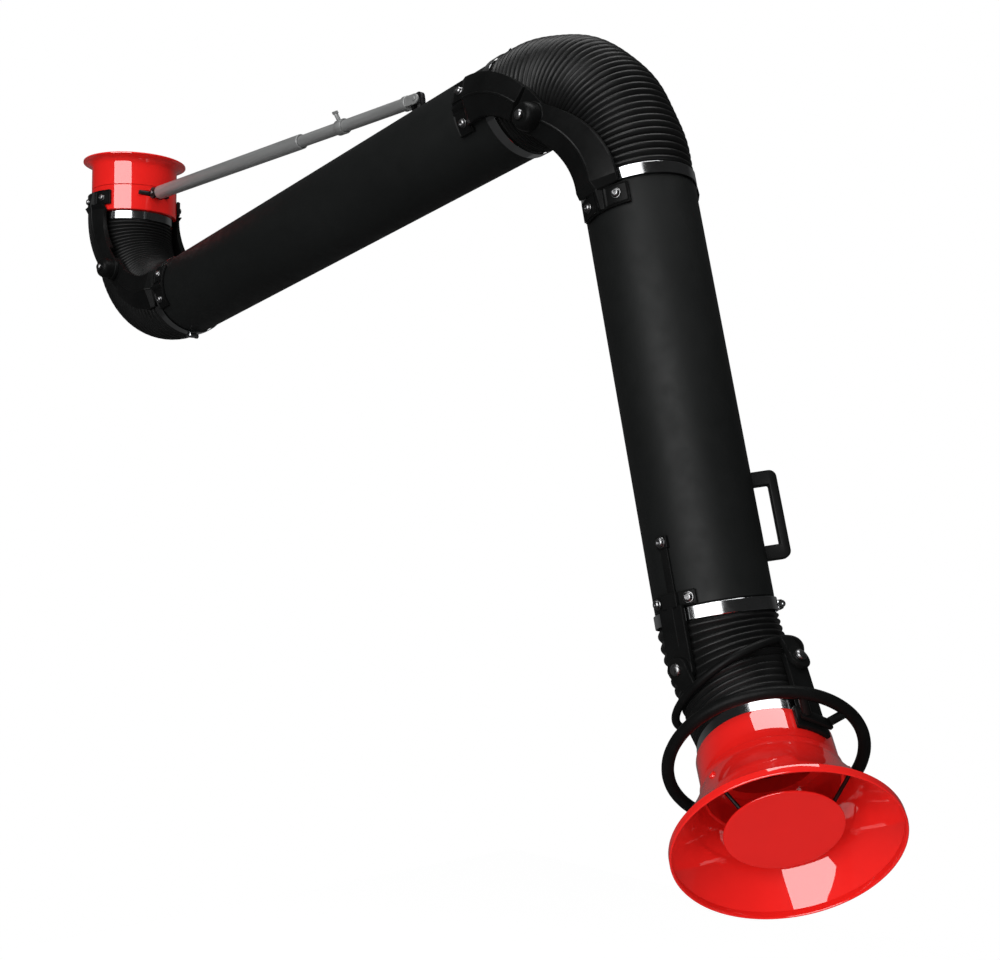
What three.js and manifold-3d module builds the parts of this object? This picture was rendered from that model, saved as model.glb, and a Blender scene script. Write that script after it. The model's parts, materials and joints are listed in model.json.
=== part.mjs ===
// Fume extraction arm: two round ducts hinged at inner corners, a balance strut, ribbed hoses at the bends
// and a bell hood on a two-way gimbal. Millimetres, +Z up, the arm reaches along +X.
// The origin is the centre of the mounting flange's flat top face, and the near side is -Y.
import * as THREE from 'three';
import { mergeVertices } from 'three/addons/utils/BufferGeometryUtils.js';
import Module from 'manifold-3d';

const wasm = await Module();
wasm.setup();

// Ducts and fits
const DUCT_RADIUS = 80;
const TUBE_WALL = 2;
const SPIGOT_STEP = 7; // tube ends are drawn in by this much to take the hose
const FIT = 0.4; // gap between pieces that touch
const RUNNING_FIT = 0.7; // gap between pieces that turn on each other
const OVERRUN = 1; // how far a cutting shape runs past what it cuts

// Reach of the arm, measured between pivots along each duct
const PIVOT_OFFSET = 88; // from a hinge pivot to the axes of the two ducts that it joins
const BASE_PIVOT_DROP = 256.3; // base pivot below the flange face
const LOWER_ARM_SPAN = 1264.4;
const FOREARM_SPAN = 812.3; // from the elbow pivot to the hood's tilt axis
const GIMBAL_DROP = 64; // from the tilt axis to the side axis of the hood

// Pose at rest, in degrees
const LOWER_ARM_PITCH = 9.58; // up from level
const FOREARM_LEAN = 12.93; // out from plumb
const HOOD_TILT = 42; // out from plumb
const HOOD_SIDE_TILT = 28; // towards the near side

// Clamp bands, each placed by its distance from the pivot beside it
const BAND_WIDTH = 17;
const BAND_THICKNESS = 1.6;
const BAND_MARGIN = 1.5; // hose cuff left bare at each side of a band
const BASE_BAND_REACH = 138.9;
const ELBOW_LOWER_BAND_REACH = 111;
const ELBOW_UPPER_BAND_REACH = 134.6;
const HOOD_BAND_REACH = 69;
const BAND_SCREW_RADIUS = 5;
const BAND_SCREW_LENGTH = 26;
const BAND_HOUSING_HEIGHT = 10;
const BAND_HOUSING_INSET = 2;
const BASE_SCREW_ANGLE = 180; // degrees round the duct from its upper side
const HOOD_UPPER_SCREW_ANGLE = -50;
const ELBOW_UPPER_SCREW_ANGLE = 180;
const HOOD_LOWER_SCREW_ANGLE = -90;

// Ribbed hoses
const HOSE_WALL = 1.6;
const RIB_HEIGHT = 3.4;
const RIB_CREST_SHARE = 0.3; // places of the crest and the valley in one rib's pitch
const RIB_VALLEY_SHARE = 0.8;
const HOSE_SIDES = 10;
const RIBS_PER_BORE_RING = 4;
const BASE_HOSE_RIBS = 30;
const ELBOW_HOSE_RIBS = 36;
const HOOD_HOSE_RIBS = 14;
const BASE_HOSE_BULGE = 1.04; // how far a bend bellies out, against a plain arc
const ELBOW_HOSE_BULGE = 1.13;
const HOOD_HOSE_BULGE = 1;

// Mounting flange and swivel collar
const FLANGE_RADIUS = 109;
const FLANGE_RIM = 3;
const FLARE_HEIGHT = 16;
const COLLAR_RADIUS = 90.4;
const COLLAR_SEAM = 65.6; // depth of the seam between the fixed and the turning half
const COLLAR_BOTTOM = 119;
const COLLAR_WALL = 4;
const COLLAR_WEB = 5;
const SLEEVE_RADIUS = 82;
const SLEEVE_WALL = 4;
const SLEEVE_TOP = 12; // depth of the sleeve's upper end below the flange face
const RETAINER_HEIGHT = 7;
const RETAINER_DROP = 1; // below the sleeve's upper end
const RETAINER_LIP = 2; // how far it reaches over the flange's bore
const BEARING_WALL = 3.4;

// Hinge arms at the base and the elbow: a ridged band from a foot on the duct to an eye at the pivot
const HINGE_REACH = 162.5; // from the pivot to the foot bolts, along the duct
const ARM_INNER = 84.5; // distance of an arm's inner face from the mid plane
const ARM_OUTER = 101; // distance of its ridge
const ARM_EDGE = 90; // distance of the band's edges where its bend begins
const ARM_FOOT_HALF = 38; // half the band's width at the foot
const ARM_EYE_HALF = 23; // half its width at the eye
const ARM_BEND_FROM = 138; // the band bends towards the pivot from here
const ARM_BEND_EASE = 0.32; // share of the bend that each end's direction is held for
const ARM_TONGUE_HALF = 14; // the ridge runs on between the foot bolts
const ARM_SHOULDER = 2; // length in which the band widens behind the bolts
const ARM_EYE_RIDGE = 1; // ridge above the band's edges at the eye
const FOOT_RIDGE_RISE = 6;
const EYE_RADIUS = 24;
const LAP_RADIUS = 48; // the two arms of a hinge lap each other inside this radius
const FOOT_FRONT = 12.5; // foot ahead of its bolts, towards the pivot
const FOOT_BACK = 16;
const FOOT_THICKNESS = 6;
const FOOT_HALF_ANGLE = 28.5;
const KNOB_BASE_RADIUS = 21;
const KNOB_TOP_RADIUS = 13;
const KNOB_OUTER = 124;
const HINGE_PIN_RADIUS = 5;
const HINGE_HEAD_RADIUS = 7.5;
const HINGE_HEAD_HEIGHT = 6;
const HINGE_NUT_RADIUS = 11;
const HINGE_NUT_HEIGHT = 2;

// Foot bolts, set radially in pairs and tied by a nut strip inside the duct
const BOLT_ANGLE = 17.8;
const BOLT_RADIUS = 4;
const BOLT_HEAD_RADIUS = 7.5;
const BOLT_HEAD_HEIGHT = 5.5;
const NUT_STRIP_THICKNESS = 3;
const NUT_STRIP_WIDTH = 16;
const NUT_STRIP_MARGIN = 6; // degrees past its bolts

// Hood brackets on the forearm
const HOOD_FOOT_RISE = 89; // foot bolts above the tilt axis
const HOOD_FOOT_BACK = 10; // foot above its bolts
const HOOD_FOOT_FRONT = 9;
const HOOD_FOOT_ANGLE = 24.5; // degrees of duct each side
const BRACKET_WIDTH = 39;
const BRACKET_THICKNESS = 7;
const TAIL_RISE = 166.5; // tail bolt above the tilt axis
const TAIL_WIDTH = 12;
const TAIL_THICKNESS = 3.5;
const TAIL_PAD = 17;

// Gimbal
const GIMBAL_RADIUS = 95;
const GIMBAL_BAR = 5.5;
const EAR_THICKNESS = 7;
const EAR_RADIUS = 16;
const LOBE_RADIUS = 17;
const EAR_FOOT_WIDTH = 22;
const GIMBAL_PIN_RADIUS = 5;
const GIMBAL_HEAD_RADIUS = 8;
const GIMBAL_HEAD_HEIGHT = 5;
const GIMBAL_NUT_HEIGHT = 1.5;

// Hood, with depths measured along its axis from the side axis
const NECK_TOP = 84;
const NECK_RADIUS = 86.7;
const NECK_BOTTOM = 129;
const STEP_HEIGHT = 9;
const STEP_RADIUS = 89.5;
const HOOD_RIM_DEPTH = 227;
const HOOD_RIM_RADIUS = 141;
const HOOD_LIP_HEIGHT = 9.5; // straight band at the rim
const HOOD_WALL = 3;
const FLARE_BOW = 5; // how far the flare bows in from a straight cone
const PLATE_WIDTH = 36;
const PLATE_THICKNESS = 7;
const PLATE_FOOT_DEPTH = 32;
const PLATE_FOOT_WIDTH = 48;

// Ring handle round the hood's neck
const RING_HANDLE_RADIUS = 123;
const RING_HANDLE_DEPTH = 92;
const RING_HANDLE_BAR = 8;
const SPOKE_BAR = 6;
const SPOKE_SPREAD = 17; // degrees to each side of a plate
const YOKE_DEPTH = 103;
const YOKE_HEIGHT = 14;
const YOKE_WIDTH = 46;
const YOKE_THICKNESS = 6;

// Deflector plate in the hood's mouth
const DEFLECTOR_RADIUS = 73;
const DEFLECTOR_DEPTH = 200;
const DEFLECTOR_THICKNESS = 3;
const STAY_RADIUS = 2.5;
const STAY_RING_OUTER = 64;
const STAY_RING_INNER = 50;
const STAY_RING_THICKNESS = 2;
const STAY_SLOPE = 46; // degrees between a stay and the plate
const STAY_COUNT = 3;

// Grip handle on the forearm
const GRIP_RISE = 138.8; // lower leg above the tilt axis
const GRIP_SPACING = 102;
const GRIP_REACH = 34; // outer face from the duct
const GRIP_BAR = 12.5;
const GRIP_LEG = 20;
const GRIP_DEPTH = 16;
const GRIP_CORNER = 10;
const GRIP_TURN = 47; // degrees round the duct from outward towards the far side

// Balance strut
const STRUT_FOOT_X = 100;
const STRUT_FOOT_DROP = 82; // below the flange face
const STRUT_TOP_REACH = 912.5; // upper pin from the base pivot, along the lower duct
const STRUT_TOP_STAND_OFF = 30; // upper pin above the lower duct's top
const STRUT_TUBE_RADIUS = 14;
const STRUT_TUBE_BORE = 11.8;
const STRUT_TUBE_LENGTH = 531;
const STRUT_TUBE_START = 12;
const STRUT_ROD_RADIUS = 11;
const STRUT_ROD_BORE = 10;
const STRUT_ROD_BORE_DEPTH = 60;
const STRUT_ROD_OVERLAP = 240;
const STRUT_EYE_RADIUS = 9;
const STRUT_EYE_WIDTH = 12;
const STRUT_PIN_RADIUS = 4;
const STRUT_END_WALL = 14;
const ROD_COLLAR_RADIUS = 13;
const ROD_COLLAR_LENGTH = 10;
const ROD_COLLAR_GAP = 24; // from the collar to the upper pin
const FORK_RADIUS = 9;
const FORK_OUTER = 9.5; // outer faces of the fork from its middle
const FORK_ROOT = 2; // length of the fork inside the collar
const FORK_PIN_END = 2; // pin left bare past the fork
const LOCK_COLLAR_REACH = 225; // lock collar back from the upper pin
const LOCK_COLLAR_LENGTH = 20;
const LOCK_SCREW_RADIUS = 4;
const LOCK_SCREW_LENGTH = 15;
const LOCK_COLLAR_WALL = 2;
const LOCK_COLLAR_TURN = 35; // degrees round the rod
const LOCK_WING_THICKNESS = 3;
const LOCK_WING_ROOT = 2;
const LOCK_WING_RISE = 4;
const SPRING_RADIUS = 9.5;
const SPRING_BORE = 6.5;

// Strut lugs
const LUG_CHEEK_THICKNESS = 5;
const LUG_CHEEK_RADIUS = 12;
const LUG_TONGUE_WIDTH = 70;
const LUG_TONGUE_HEIGHT = 8;
const LUG_TONGUE_DEPTH = 9; // how far the tongue reaches inside the collar wall
const LUG_SLOT_CLEARANCE = 2;
const LUG_CHEEK_ROOT = 2; // length of a cheek inside the tongue
const LUG_PIN_END = 3; // pin left bare past a cheek
const TOP_LUG_LENGTH = 28;
const TOP_LUG_WIDTH = 44;
const TOP_LUG_BASE = 2;
const TOP_LUG_THICKNESS = 9;
const TOP_LUG_WALL = 4; // left above the slot
const TOP_LUG_CORNER = 8;
const TOP_SLOT_DROP = 18; // play for the open pivot, towards the duct
const TOP_SLOT_RISE = 3;
const TOP_SLOT_SIDE = 5;

// Facets
const WELD = 1e-4; // points closer than this are one point
const ROUND = 24;
const HOOD_ROUND = 28;
const SMALL_ROUND = 8;
const EYE_ROUND = 12;
const BOLT_SIDES = 6;
const BAR_SIDES = 6;
const HOOP_STEPS = 26;
const BAND_ROUND = 16;
const ARM_STEPS = 4;
const PIN_ROUND = 10;
const FLARE_STEPS = 4;

// Sizes that follow
const rad = THREE.MathUtils.degToRad;
const SPIGOT_RADIUS = DUCT_RADIUS - SPIGOT_STEP;
const CUFF = BAND_WIDTH + 2 * BAND_MARGIN;
const SPIGOT_LENGTH = CUFF - BAND_MARGIN;
const FACET_REACH = 1 / Math.cos(Math.PI / HOSE_SIDES); // corner of a faceted bore against its flat
const HOSE_BORE = (SPIGOT_RADIUS + FIT) * FACET_REACH;
const HOSE_VALLEY = HOSE_BORE + HOSE_WALL;
const HOSE_CREST = HOSE_VALLEY + RIB_HEIGHT;
const BAND_BORE = (HOSE_VALLEY + FIT) / Math.cos(Math.PI / BAND_ROUND);
const LAP_PLANE = (ARM_INNER + ARM_OUTER) / 2;
const BRACKET_OUTER = ARM_INNER + BRACKET_THICKNESS;
const PLATE_INNER = NECK_RADIUS + FIT;
const PLATE_OUTER = PLATE_INNER + PLATE_THICKNESS;
const PIN_HOLE_REACH = 1 / Math.cos(Math.PI / SMALL_ROUND); // so a faceted pin turns free in a faceted hole
const HINGE_HOLE = (HINGE_PIN_RADIUS + FIT) * PIN_HOLE_REACH;
const GIMBAL_HOLE = (GIMBAL_PIN_RADIUS + FIT) * PIN_HOLE_REACH;
const STRUT_HOLE = (STRUT_PIN_RADIUS + FIT) * PIN_HOLE_REACH;

// Materials
function finish(color, roughness, metalness) {
  return () => new THREE.MeshStandardMaterial({ color, roughness, metalness });
}
const redGloss = finish(0xd8141c, 0.25, 0);
const blackPaint = finish(0x1b1d1d, 0.4, 0);
const blackMoulding = finish(0x161717, 0.55, 0);
const blackHose = finish(0x202222, 0.6, 0);
const brightSteel = finish(0xc9cbcc, 0.22, 1);
const boltSteel = finish(0x7c7e7f, 0.35, 1);
const strutAlloy = finish(0x9b9d9e, 0.38, 1);
const darkSteel = finish(0x3a3c3d, 0.4, 1);
const whitePolymer = finish(0xd9d9d2, 0.5, 0);

// Turns a geometry into positions and faces only, with its faces pointing out
function facingOut(geometry) {
  const bare = new THREE.BufferGeometry();
  bare.setAttribute('position', geometry.getAttribute('position').clone());
  if (geometry.index) bare.setIndex(geometry.index.clone());
  const merged = mergeVertices(bare, WELD);
  const p = merged.getAttribute('position');
  const index = Array.from(merged.index.array);
  const faces = [];
  let volume = 0;
  const a = new THREE.Vector3();
  const b = new THREE.Vector3();
  const c = new THREE.Vector3();
  for (let i = 0; i < index.length; i += 3) {
    const [i0, i1, i2] = index.slice(i, i + 3);
    if (i0 === i1 || i1 === i2 || i2 === i0) continue;
    faces.push([i0, i1, i2]);
    a.fromBufferAttribute(p, i0);
    b.fromBufferAttribute(p, i1);
    c.fromBufferAttribute(p, i2);
    volume += a.dot(b.clone().cross(c));
  }
  if (volume < 0) faces.forEach((f) => f.reverse());
  merged.setIndex(faces.flat());
  return merged;
}

function solid(geometry) {
  const g = facingOut(geometry);
  return new wasm.Manifold(new wasm.Mesh({
    numProp: 3,
    vertProperties: new Float32Array(g.getAttribute('position').array),
    triVerts: new Uint32Array(g.index.array),
  }));
}

function geometryOf(manifold) {
  const mesh = manifold.getMesh();
  const g = new THREE.BufferGeometry();
  g.setAttribute('position', new THREE.BufferAttribute(new Float32Array(mesh.vertProperties), 3));
  g.setIndex(Array.from(mesh.triVerts));
  return g;
}

function join(...pieces) {
  return geometryOf(pieces.map(solid).reduce((sum, piece) => sum.add(piece)));
}

function cut(piece, ...tools) {
  return geometryOf(tools.map(solid).reduce((rest, tool) => rest.subtract(tool), solid(piece)));
}

function common(piece, other) {
  return geometryOf(solid(piece).intersect(solid(other)));
}

// A closed profile of [radius, height] points turned about Z
function turned(profile, sides = ROUND) {
  const points = profile.map(([r, z]) => new THREE.Vector2(r, z));
  const first = points[0];
  const last = points[points.length - 1];
  if (first.x > 0 || last.x > 0) points.push(first.clone());
  return new THREE.LatheGeometry(points, sides).rotateX(Math.PI / 2);
}

function pipe(outer, inner, from, to, sides = ROUND) {
  return turned([[inner, from], [outer, from], [outer, to], [inner, to]], sides);
}

function rod(radius, from, to, sides = SMALL_ROUND) {
  return turned([[0, from], [radius, from], [radius, to], [0, to]], sides);
}

function block(x0, x1, y0, y1, z0, z1) {
  return new THREE.BoxGeometry(x1 - x0, y1 - y0, z1 - z0)
    .translate((x0 + x1) / 2, (y0 + y1) / 2, (z0 + z1) / 2);
}

// A rod between two points
function bar(from, to, radius, sides = BAR_SIDES) {
  const along = new THREE.Vector3().subVectors(to, from);
  const turn = new THREE.Quaternion().setFromUnitVectors(
    new THREE.Vector3(0, 0, 1), along.clone().normalize());
  return rod(radius, 0, along.length(), sides).applyQuaternion(turn).translate(from.x, from.y, from.z);
}

// A rod along Z turned to lie along X, or along -Y
function alongX(geometry) {
  return geometry.rotateY(Math.PI / 2);
}

function alongNear(geometry) {
  return geometry.rotateX(Math.PI / 2);
}

function mirrored(geometry) {
  return geometry.clone().scale(1, -1, 1);
}

function addMesh(group, name, geometry, material) {
  const shape = facingOut(geometry);
  shape.computeVertexNormals();
  const mesh = new THREE.Mesh(shape, material());
  mesh.name = name;
  group.add(mesh);
  return mesh;
}

// The same piece on the near side and, mirrored, on the far side
function addPair(group, name, nearGeometry, material) {
  addMesh(group, `${name}_near`, nearGeometry, material);
  addMesh(group, `${name}_far`, mirrored(nearGeometry), material);
}

// Groups carry the joints: each one's origin is its pivot
const arm = new THREE.Group();
const swivel = new THREE.Group();
const lowerArm = new THREE.Group();
const forearm = new THREE.Group();
const gimbal = new THREE.Group();
const hood = new THREE.Group();
const strut = new THREE.Group();
arm.add(swivel);
swivel.add(lowerArm, strut);
lowerArm.add(forearm);
forearm.add(gimbal);
gimbal.add(hood);
lowerArm.position.set(PIVOT_OFFSET, 0, -BASE_PIVOT_DROP);
lowerArm.rotation.y = -rad(LOWER_ARM_PITCH);
forearm.position.set(LOWER_ARM_SPAN, 0, -2 * PIVOT_OFFSET);
forearm.rotation.y = rad(LOWER_ARM_PITCH - FOREARM_LEAN);
gimbal.position.set(PIVOT_OFFSET, 0, -FOREARM_SPAN);
gimbal.rotation.y = rad(FOREARM_LEAN - HOOD_TILT);
hood.position.set(0, 0, -GIMBAL_DROP);
hood.rotation.x = -rad(HOOD_SIDE_TILT);
[lowerArm, forearm, gimbal, hood].forEach((group) => group.updateMatrix());

// Mounting flange, bearing ring and swivel collar
function flareProfile() {
  const points = [];
  const drop = FLANGE_RADIUS - COLLAR_RADIUS;
  for (let i = 0; i <= FLARE_STEPS; i += 1) {
    const angle = (i / FLARE_STEPS) * Math.PI / 2;
    points.push([
      FLANGE_RADIUS - drop * Math.sin(angle),
      -FLANGE_RIM - FLARE_HEIGHT * (1 - Math.cos(angle)),
    ]);
  }
  return points;
}

const bearingBore = SLEEVE_RADIUS + RUNNING_FIT;
const flangeBore = bearingBore + BEARING_WALL + FIT;
const retainerTop = -SLEEVE_TOP - RETAINER_DROP;
const shoulder = retainerTop - RETAINER_HEIGHT - RUNNING_FIT;
const retainerRadius = flangeBore + RETAINER_LIP;

addMesh(arm, 'mount_flange', turned([
  [retainerRadius + RUNNING_FIT, 0],
  [FLANGE_RADIUS, 0],
  ...flareProfile(),
  [COLLAR_RADIUS, -COLLAR_SEAM + RUNNING_FIT],
  [flangeBore, -COLLAR_SEAM + RUNNING_FIT],
  [flangeBore, shoulder],
  [retainerRadius + RUNNING_FIT, shoulder],
]), redGloss);

addMesh(arm, 'bearing_ring', pipe(
  bearingBore + BEARING_WALL, bearingBore, -COLLAR_SEAM + RUNNING_FIT, shoulder - RUNNING_FIT), whitePolymer);

addMesh(swivel, 'retaining_ring', pipe(
  retainerRadius, SLEEVE_RADIUS + FIT, retainerTop - RETAINER_HEIGHT, retainerTop), darkSteel);

const collarBore = COLLAR_RADIUS - COLLAR_WALL;
const spigotBore = SPIGOT_RADIUS - TUBE_WALL;
const collarBody = turned([
  [COLLAR_RADIUS, -COLLAR_SEAM],
  [COLLAR_RADIUS, -COLLAR_BOTTOM],
  [SPIGOT_RADIUS, -COLLAR_BOTTOM],
  [SPIGOT_RADIUS, -COLLAR_BOTTOM - SPIGOT_LENGTH],
  [spigotBore, -COLLAR_BOTTOM - SPIGOT_LENGTH],
  [spigotBore, -COLLAR_BOTTOM + COLLAR_WEB],
  [collarBore, -COLLAR_BOTTOM + COLLAR_WEB],
  [collarBore, -COLLAR_SEAM - COLLAR_WEB],
  [SLEEVE_RADIUS - SLEEVE_WALL, -COLLAR_SEAM - COLLAR_WEB],
  [SLEEVE_RADIUS - SLEEVE_WALL, -SLEEVE_TOP],
  [SLEEVE_RADIUS, -SLEEVE_TOP],
  [SLEEVE_RADIUS, -COLLAR_SEAM],
]);

// Radial bolts: a frame whose axis is the duct axis along X, with the foot on the near side
function radial(geometry, degrees, along = 0) {
  return geometry.rotateX(Math.PI / 2 - rad(degrees)).translate(along, 0, 0);
}

function radialBolt(seat, tip, degrees, along = 0) {
  const crown = seat + BOLT_HEAD_HEIGHT;
  return radial(turned([
    [0, tip],
    [BOLT_RADIUS, tip],
    [BOLT_RADIUS, seat],
    [BOLT_HEAD_RADIUS, seat],
    [BOLT_HEAD_RADIUS / 2, crown],
    [0, crown],
  ], BOLT_SIDES), degrees, along);
}

function radialHole(degrees, along = 0) {
  return radial(rod(BOLT_RADIUS + FIT, DUCT_RADIUS / 2, 2 * DUCT_RADIUS, BOLT_SIDES), degrees, along);
}

// The part of a round shell inside a window on the near side
function shellPatch(outer, inner, x0, x1, halfAngle) {
  const side = outer * Math.sin(rad(halfAngle));
  const depth = inner * Math.cos(rad(halfAngle));
  const shell = alongX(pipe(outer, inner, x0, x1));
  return common(shell, block(x0 - OVERRUN, x1 + OVERRUN, -outer - OVERRUN, -depth, -side, side));
}

function boltPair(wallRadius, wallBore, footThickness) {
  const seat = wallRadius + FIT + footThickness + FIT;
  const strip = wallBore - FIT;
  const tip = strip - NUT_STRIP_THICKNESS / 2;
  return join(
    shellPatch(strip, strip - NUT_STRIP_THICKNESS, -NUT_STRIP_WIDTH / 2, NUT_STRIP_WIDTH / 2,
      BOLT_ANGLE + NUT_STRIP_MARGIN),
    radialBolt(seat, tip, BOLT_ANGLE),
    radialBolt(seat, tip, -BOLT_ANGLE));
}

function pairHoles(along) {
  return [radialHole(BOLT_ANGLE, along), radialHole(-BOLT_ANGLE, along)];
}

// Hinge arm. Its own frame: pivot at the origin, duct axis parallel to X at Z = PIVOT_OFFSET, outside is -Y
function armStations(footTop) {
  const back = new THREE.Vector2(-1, 0);
  const bend = new THREE.CubicBezierCurve(
    new THREE.Vector2(ARM_BEND_FROM, PIVOT_OFFSET),
    new THREE.Vector2(ARM_BEND_FROM * (1 - ARM_BEND_EASE), PIVOT_OFFSET),
    new THREE.Vector2(ARM_BEND_FROM * ARM_BEND_EASE, PIVOT_OFFSET * (1 - ARM_BEND_EASE)),
    new THREE.Vector2(0, 0));
  const clear = HINGE_REACH - BOLT_HEAD_RADIUS - RUNNING_FIT;
  const foot = (reach, half, rise) => ({
    at: new THREE.Vector2(reach, PIVOT_OFFSET), along: back, half, edge: footTop + FIT, ridge: footTop + rise,
  });
  const stations = [
    foot(HINGE_REACH + BOLT_HEAD_RADIUS, ARM_TONGUE_HALF, FOOT_RIDGE_RISE / 3),
    foot(clear, ARM_TONGUE_HALF, FOOT_RIDGE_RISE),
    foot(clear - ARM_SHOULDER, ARM_FOOT_HALF, FOOT_RIDGE_RISE),
  ];
  for (let i = 0; i <= ARM_STEPS; i += 1) {
    const share = i / ARM_STEPS;
    stations.push({
      at: bend.getPoint(share),
      along: bend.getTangent(share),
      half: THREE.MathUtils.lerp(ARM_FOOT_HALF, ARM_EYE_HALF, share),
      edge: THREE.MathUtils.lerp(ARM_EDGE, ARM_OUTER - ARM_EYE_RIDGE, share),
      ridge: ARM_OUTER,
    });
  }
  return stations;
}

// A band of five-cornered sections, one at each station
function armBand(footTop) {
  const points = [];
  const faces = [];
  const stations = armStations(footTop);
  stations.forEach(({ at, along, half, edge, ridge }) => {
    const side = new THREE.Vector2(-along.y, along.x).multiplyScalar(half);
    const corner = (share, out) => points.push(
      new THREE.Vector3(at.x + share * side.x, -out, at.y + share * side.y));
    corner(1, edge);
    corner(0, ridge);
    corner(-1, edge);
    corner(-1, ARM_INNER);
    corner(1, ARM_INNER);
  });
  for (let i = 0; i + 1 < stations.length; i += 1) {
    for (let k = 0; k < 5; k += 1) {
      const a = 5 * i + k;
      const b = 5 * i + (k + 1) % 5;
      faces.push(a, b, b + 5, a, b + 5, a + 5);
    }
  }
  const last = points.length - 5;
  for (let k = 1; k < 4; k += 1) {
    faces.push(0, k + 1, k);
    faces.push(last, last + k, last + k + 1);
  }
  const band = new THREE.BufferGeometry().setFromPoints(points);
  band.setIndex(faces);
  return band;
}

// The arms that lap outside carry the pivot's knob
function hingeArm(lapsInside, wallRadius, wallFrom) {
  const saddle = wallRadius + FIT;
  const eye = alongNear(rod(EYE_RADIUS, ARM_INNER, ARM_OUTER, EYE_ROUND));
  const foot = shellPatch(saddle + FOOT_THICKNESS, wallRadius - FOOT_THICKNESS,
    HINGE_REACH - FOOT_FRONT, HINGE_REACH + FOOT_BACK, FOOT_HALF_ANGLE).translate(0, 0, PIVOT_OFFSET);
  const knob = alongNear(turned([
    [0, LAP_PLANE + RUNNING_FIT],
    [KNOB_BASE_RADIUS, LAP_PLANE + RUNNING_FIT],
    [KNOB_BASE_RADIUS, (ARM_OUTER + KNOB_OUTER) / 2],
    [KNOB_TOP_RADIUS, KNOB_OUTER],
    [0, KNOB_OUTER],
  ], EYE_ROUND));
  const seat = alongX(rod(saddle / Math.cos(Math.PI / ROUND), wallFrom, HINGE_REACH + 2 * FOOT_BACK, ROUND))
    .translate(0, 0, PIVOT_OFFSET);
  const gap = RUNNING_FIT / 2;
  const lapFrom = lapsInside ? LAP_PLANE - gap : 0;
  const lapTo = lapsInside ? KNOB_OUTER : LAP_PLANE + gap;
  const lap = alongNear(rod(LAP_RADIUS, lapFrom, lapTo, SMALL_ROUND));
  const pinHole = alongNear(rod(HINGE_HOLE, 0, KNOB_OUTER + OVERRUN));
  const holes = pairHoles(HINGE_REACH).map((hole) => hole.translate(0, 0, PIVOT_OFFSET));
  const body = join(armBand(saddle + FOOT_THICKNESS), eye, foot);
  return cut(lapsInside ? body : join(body, knob), seat, lap, pinHole, ...holes);
}

// Moves a hinge arm's frame to its pivot, with X and Z of that frame along the two given directions
function atPivot(geometry, pivot, footDirection, ductDirection) {
  const frame = new THREE.Matrix4().makeBasis(footDirection, new THREE.Vector3(0, 1, 0), ductDirection);
  frame.setPosition(pivot);
  return geometry.clone().applyMatrix4(frame);
}

const PLUS_X = new THREE.Vector3(1, 0, 0);
const MINUS_X = new THREE.Vector3(-1, 0, 0);
const PLUS_Z = new THREE.Vector3(0, 0, 1);
const MINUS_Z = new THREE.Vector3(0, 0, -1);
const ORIGIN = new THREE.Vector3();
const tubeBore = DUCT_RADIUS - TUBE_WALL;
const footPlace = new THREE.Vector3(HINGE_REACH, 0, PIVOT_OFFSET);
const elbowPivot = forearm.position;
const basePivot = lowerArm.position;

const innerArm = hingeArm(true, DUCT_RADIUS, HINGE_REACH - FOOT_BACK);
const outerArm = hingeArm(false, DUCT_RADIUS, HINGE_REACH - FOOT_BACK);
const collarArm = hingeArm(false, COLLAR_RADIUS, BASE_PIVOT_DROP - COLLAR_BOTTOM - FIT);
const ductBolts = boltPair(DUCT_RADIUS, tubeBore, FOOT_THICKNESS)
  .translate(footPlace.x, footPlace.y, footPlace.z);
const collarBolts = boltPair(COLLAR_RADIUS, collarBore, FOOT_THICKNESS)
  .translate(footPlace.x, footPlace.y, footPlace.z);

function hingePin() {
  const head = KNOB_OUTER + FIT;
  const crown = head + HINGE_HEAD_HEIGHT;
  const nut = ARM_INNER - FIT;
  return alongNear(turned([
    [0, nut - HINGE_NUT_HEIGHT],
    [HINGE_NUT_RADIUS, nut - HINGE_NUT_HEIGHT],
    [HINGE_NUT_RADIUS, nut],
    [HINGE_PIN_RADIUS, nut],
    [HINGE_PIN_RADIUS, head],
    [HINGE_HEAD_RADIUS, head],
    [HINGE_HEAD_RADIUS, crown - HINGE_HEAD_HEIGHT / 2],
    [HINGE_HEAD_RADIUS / 2, crown],
    [0, crown],
  ], SMALL_ROUND));
}

addPair(swivel, 'collar_arm', atPivot(collarArm, basePivot, PLUS_Z, MINUS_X), blackMoulding);
addPair(swivel, 'collar_bolts', atPivot(collarBolts, basePivot, PLUS_Z, MINUS_X), boltSteel);
addPair(lowerArm, 'base_arm', atPivot(innerArm, ORIGIN, PLUS_X, MINUS_Z), blackMoulding);
addPair(lowerArm, 'base_bolts', atPivot(ductBolts, ORIGIN, PLUS_X, MINUS_Z), boltSteel);
addPair(lowerArm, 'elbow_arm', atPivot(innerArm, elbowPivot, MINUS_X, PLUS_Z), blackMoulding);
addPair(lowerArm, 'elbow_bolts', atPivot(ductBolts, elbowPivot, MINUS_X, PLUS_Z), boltSteel);
addPair(lowerArm, 'base_pivot', hingePin(), boltSteel);
addPair(lowerArm, 'elbow_pivot', hingePin().translate(elbowPivot.x, elbowPivot.y, elbowPivot.z), boltSteel);
addPair(forearm, 'forearm_arm', atPivot(outerArm, ORIGIN, MINUS_Z, PLUS_X), blackMoulding);
addPair(forearm, 'forearm_bolts', atPivot(ductBolts, ORIGIN, MINUS_Z, PLUS_X), boltSteel);

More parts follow.
